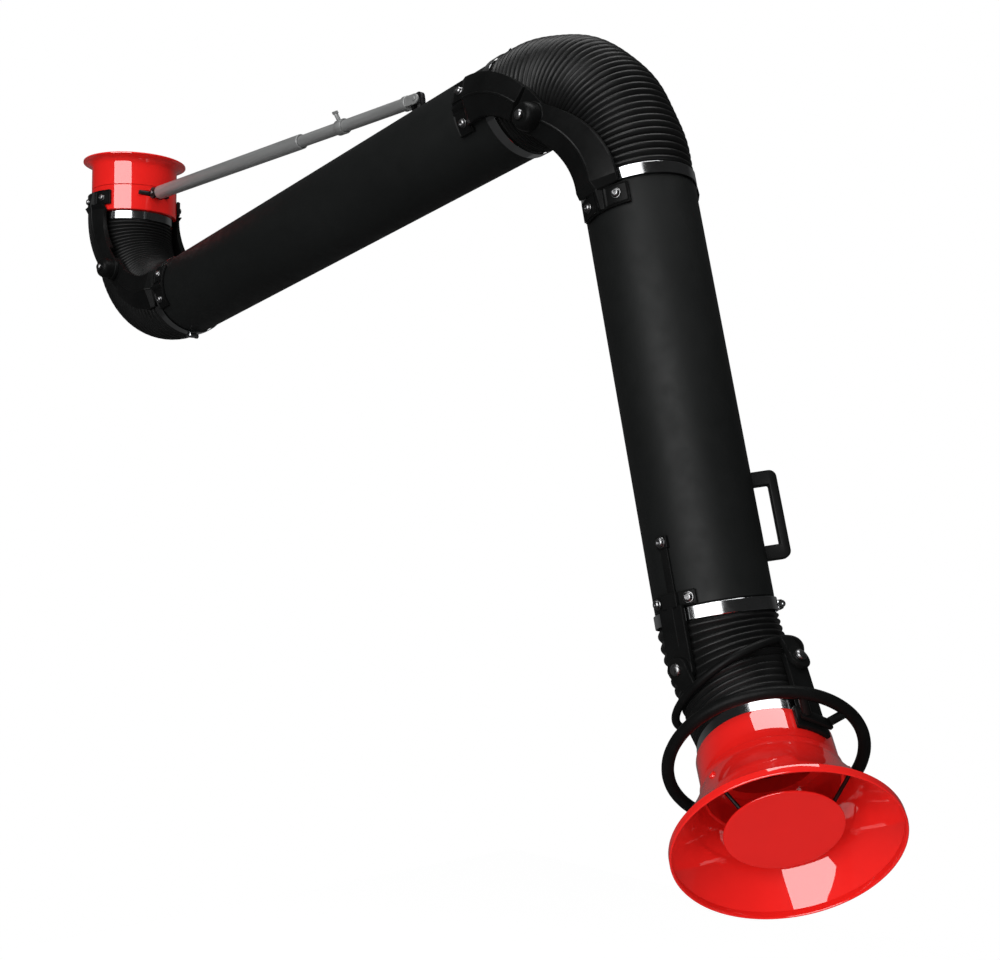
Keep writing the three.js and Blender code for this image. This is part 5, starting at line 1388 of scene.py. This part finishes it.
        saddle = DUCT_RADIUS + FIT
        base = patch("top lug saddle", saddle, saddle + 2 * MM, -14 * MM, 14 * MM, math.radians(15.5))
        base = softened(placed(base, turn(-QUARTER, "X")), 0.6 * MM, 2)
        pin_level = DUCT_RADIUS + STRUT_STAND_OFF
        crown = [
            (-14 * MM, saddle + 0.2 * MM),
            *arc((-6 * MM, pin_level + 3 * MM), 8 * MM, 180, 90, 6),
            *arc((6 * MM, pin_level + 3 * MM), 8 * MM, 90, 0, 6),
            (14 * MM, saddle + 0.2 * MM),
        ]
        plate = lofted("top lug plate", [[Vector((x, y, z)) for x, z in crown] for y in (-4.5 * MM, 4.5 * MM)])
        slot = slab("top lug slot", (-9 * MM, -9 * MM, pin_level - 22 * MM), (9 * MM, 9 * MM, pin_level + 7 * MM))
        carved(plate, softened(slot, 3.5 * MM, 4))
        softened(plate, 0.8 * MM, 2)
        top = placed(joined("strut_top_lug_finished", base, plate), LOWER_DUCT @ shift(x=STRUT_TOP_REACH))
        dressed(smoothed(top), "strut_top_lug")
        return {"FINISHED"}


class FUMEARM_OT_carried(bpy.types.Operator):
    """Gives every CAD node its finish"""

    bl_idname = "fume_arm.carried"
    bl_label = "Carried Nodes"

    def execute(self, context):
        for node, obj in frame["nodes"].items():
            obj.data.materials.clear()
            obj.data.materials.append(finish_of(NODE_SLOT[node]))
        return {"FINISHED"}


def softbox(name, place, target, width, height, radiance, roll=0.0, mirrored=True):
    """A rectangular lamp of one brightness; a fill lamp isn't mirrored in gloss"""
    deselect()
    bpy.ops.object.light_add(type="AREA", location=place)
    lamp = bpy.context.object
    lamp.name = name
    lamp.data.shape = "RECTANGLE"
    lamp.data.size, lamp.data.size_y = width, height
    lamp.data.energy = radiance * math.pi * width * height
    lamp.visible_camera = False
    lamp.visible_glossy = mirrored
    aim = (Vector(target) - Vector(place)).to_track_quat("-Z", "Y")
    lamp.rotation_mode = "QUATERNION"
    lamp.rotation_quaternion = aim @ turn(roll, "Z").to_quaternion()
    return lamp


class FUMEARM_OT_stage(bpy.types.Operator):
    """Sets the floor, the studio light and the camera"""

    bl_idname = "fume_arm.stage"
    bl_label = "Stage"

    def execute(self, context):
        scene = context.scene
        scene.view_settings.view_transform = "Standard"
        deselect()
        bpy.ops.mesh.primitive_plane_add(size=7, location=(1, 0, -2.4))
        floor = bpy.context.object
        floor.name = "floor"
        floor.data.materials.append(self.pale_floor(scene.fume_arm_colours.floor))

        self.studio_world(scene)
        softbox("key softbox", (6.03, -10.3, 1.9), (1.0, 0, -0.6), 10.4, 10.1, 3.9)
        softbox("top softbox", (1.775, 0.095, 1.5), (1.775, 0.095001, 0), 1.93, 1.0, 3.9, math.atan2(0.803, 0.596))
        softbox("low fill", (3.6, -2.0, -2.0), (1.8, 0, -1.1), 1.6, 1.6, 1.8, mirrored=False)

        deselect()
        bpy.ops.object.camera_add(location=(2.8019, -1.4864, -0.8286))
        camera = bpy.context.object
        camera.name = "camera"
        aim = Vector((1.19104, 0, -0.73223)) - camera.location
        camera.rotation_mode = "QUATERNION"
        camera.rotation_quaternion = aim.to_track_quat("-Z", "Y") @ turn(math.radians(0.17), "Z").to_quaternion()
        camera.data.sensor_fit = "HORIZONTAL"
        camera.data.sensor_width = 36
        camera.data.lens = 50.58
        camera.data.dof.use_dof = False
        scene.camera = camera
        return {"FINISHED"}

    @staticmethod
    def studio_world(scene):
        """White behind the object; mirrored rays see that backdrop, and a dim room on the camera's side"""
        world = bpy.data.worlds.new("studio")
        scene.world = world
        world.use_nodes = True
        nodes, links = world.node_tree.nodes, world.node_tree.links
        sky = nodes["Background"]
        sky.inputs["Color"].default_value = (1, 1, 1, 1)
        way = nodes.new("ShaderNodeVectorMath")
        way.operation = "DOT_PRODUCT"
        way.inputs[1].default_value = (-0.734, 0.677, 0.044)
        links.new(nodes.new("ShaderNodeTexCoord").outputs["Generated"], way.inputs[0])
        backdrop = nodes.new("ShaderNodeMapRange")
        for key, value in (("From Min", 0.5), ("From Max", 0.85), ("To Min", 0.02), ("To Max", 0.09)):
            backdrop.inputs[key].default_value = value
        links.new(way.outputs["Value"], backdrop.inputs["Value"])
        path = nodes.new("ShaderNodeLightPath")
        level = None
        for output, strength in (("Is Glossy Ray", None), ("Is Transmission Ray", 1.0), ("Is Camera Ray", 1.0)):
            mix = nodes.new("ShaderNodeMix")
            links.new(path.outputs[output], mix.inputs["Factor"])
            if level is None:
                mix.inputs["A"].default_value = 0.25
                links.new(backdrop.outputs["Result"], mix.inputs["B"])
            else:
                links.new(level, mix.inputs["A"])
                mix.inputs["B"].default_value = strength
            level = mix.outputs["Result"]
        links.new(level, sky.inputs["Strength"])

    @staticmethod
    def pale_floor(colour):
        """Nearly white where it is seen, with the object's soft shadow left in it"""
        material = bpy.data.materials.new("pale floor")
        material.use_nodes = True
        nodes, links = material.node_tree.nodes, material.node_tree.links
        matte = nodes["Principled BSDF"]
        matte.inputs["Base Color"].default_value = (*colour, 1)
        matte.inputs["Roughness"].default_value = 0.9
        glow = nodes.new("ShaderNodeEmission")
        path = nodes.new("ShaderNodeLightPath")
        level = nodes.new("ShaderNodeMix")
        level.inputs["A"].default_value = 1.22
        level.inputs["B"].default_value = 0.04
        links.new(path.outputs["Is Glossy Ray"], level.inputs["Factor"])
        links.new(level.outputs["Result"], glow.inputs["Strength"])
        seen = None
        for output, weight in (("Is Camera Ray", 0.75), ("Is Glossy Ray", 1.0), ("Is Transmission Ray", 0.75)):
            add = nodes.new("ShaderNodeMath")
            add.operation = "MULTIPLY_ADD"
            add.inputs[1].default_value = weight
            links.new(path.outputs[output], add.inputs[0])
            if seen is None:
                add.inputs[2].default_value = 0.0
            else:
                links.new(seen, add.inputs[2])
            seen = add.outputs["Value"]
        mix = nodes.new("ShaderNodeMixShader")
        links.new(seen, mix.inputs["Fac"])
        links.new(matte.outputs["BSDF"], mix.inputs[1])
        links.new(glow.outputs["Emission"], mix.inputs[2])
        links.new(mix.outputs["Shader"], nodes["Material Output"].inputs["Surface"])
        return material


class FUMEARM_PT_panel(bpy.types.Panel):
    """Lists the building steps in the sidebar"""

    bl_label = "Fume Arm"
    bl_idname = "FUMEARM_PT_panel"
    bl_space_type = "VIEW_3D"
    bl_region_type = "UI"
    bl_category = "Fume Arm"

    def draw(self, context):
        column = self.layout.column()
        for name in FumeArmSizes.__annotations__:
            column.prop(context.scene.fume_arm_sizes, name)
        for name in FumeArmColours.__annotations__:
            column.prop(context.scene.fume_arm_colours, name)
        for step in STEPS:
            column.operator(step.bl_idname)


STEPS = (
    FUMEARM_OT_carried,
    FUMEARM_OT_base,
    FUMEARM_OT_tubes,
    FUMEARM_OT_hoses,
    FUMEARM_OT_clamps,
    FUMEARM_OT_hinge_arms,
    FUMEARM_OT_bolts,
    FUMEARM_OT_pivots,
    FUMEARM_OT_hood,
    FUMEARM_OT_gimbal,
    FUMEARM_OT_handles,
    FUMEARM_OT_strut,
    FUMEARM_OT_stage,
)
CLASSES = (FumeArmSizes, FumeArmColours, *STEPS, FUMEARM_PT_panel)


def register():
    for cls in CLASSES:
        bpy.utils.register_class(cls)
    bpy.types.Scene.fume_arm_sizes = bpy.props.PointerProperty(type=FumeArmSizes)
    bpy.types.Scene.fume_arm_colours = bpy.props.PointerProperty(type=FumeArmColours)


def unregister():
    del bpy.types.Scene.fume_arm_colours
    del bpy.types.Scene.fume_arm_sizes
    for cls in reversed(CLASSES):
        bpy.utils.unregister_class(cls)


def main():
    register()
    bpy.ops.fume_arm.carried()
    bpy.ops.fume_arm.base()
    bpy.ops.fume_arm.tubes()
    bpy.ops.fume_arm.hoses()
    bpy.ops.fume_arm.clamps()
    bpy.ops.fume_arm.hinge_arms()
    bpy.ops.fume_arm.bolts()
    bpy.ops.fume_arm.pivots()
    bpy.ops.fume_arm.hood()
    bpy.ops.fume_arm.gimbal()
    bpy.ops.fume_arm.handles()
    bpy.ops.fume_arm.strut()
    bpy.ops.fume_arm.stage()


if __name__ == "__main__":
    main()
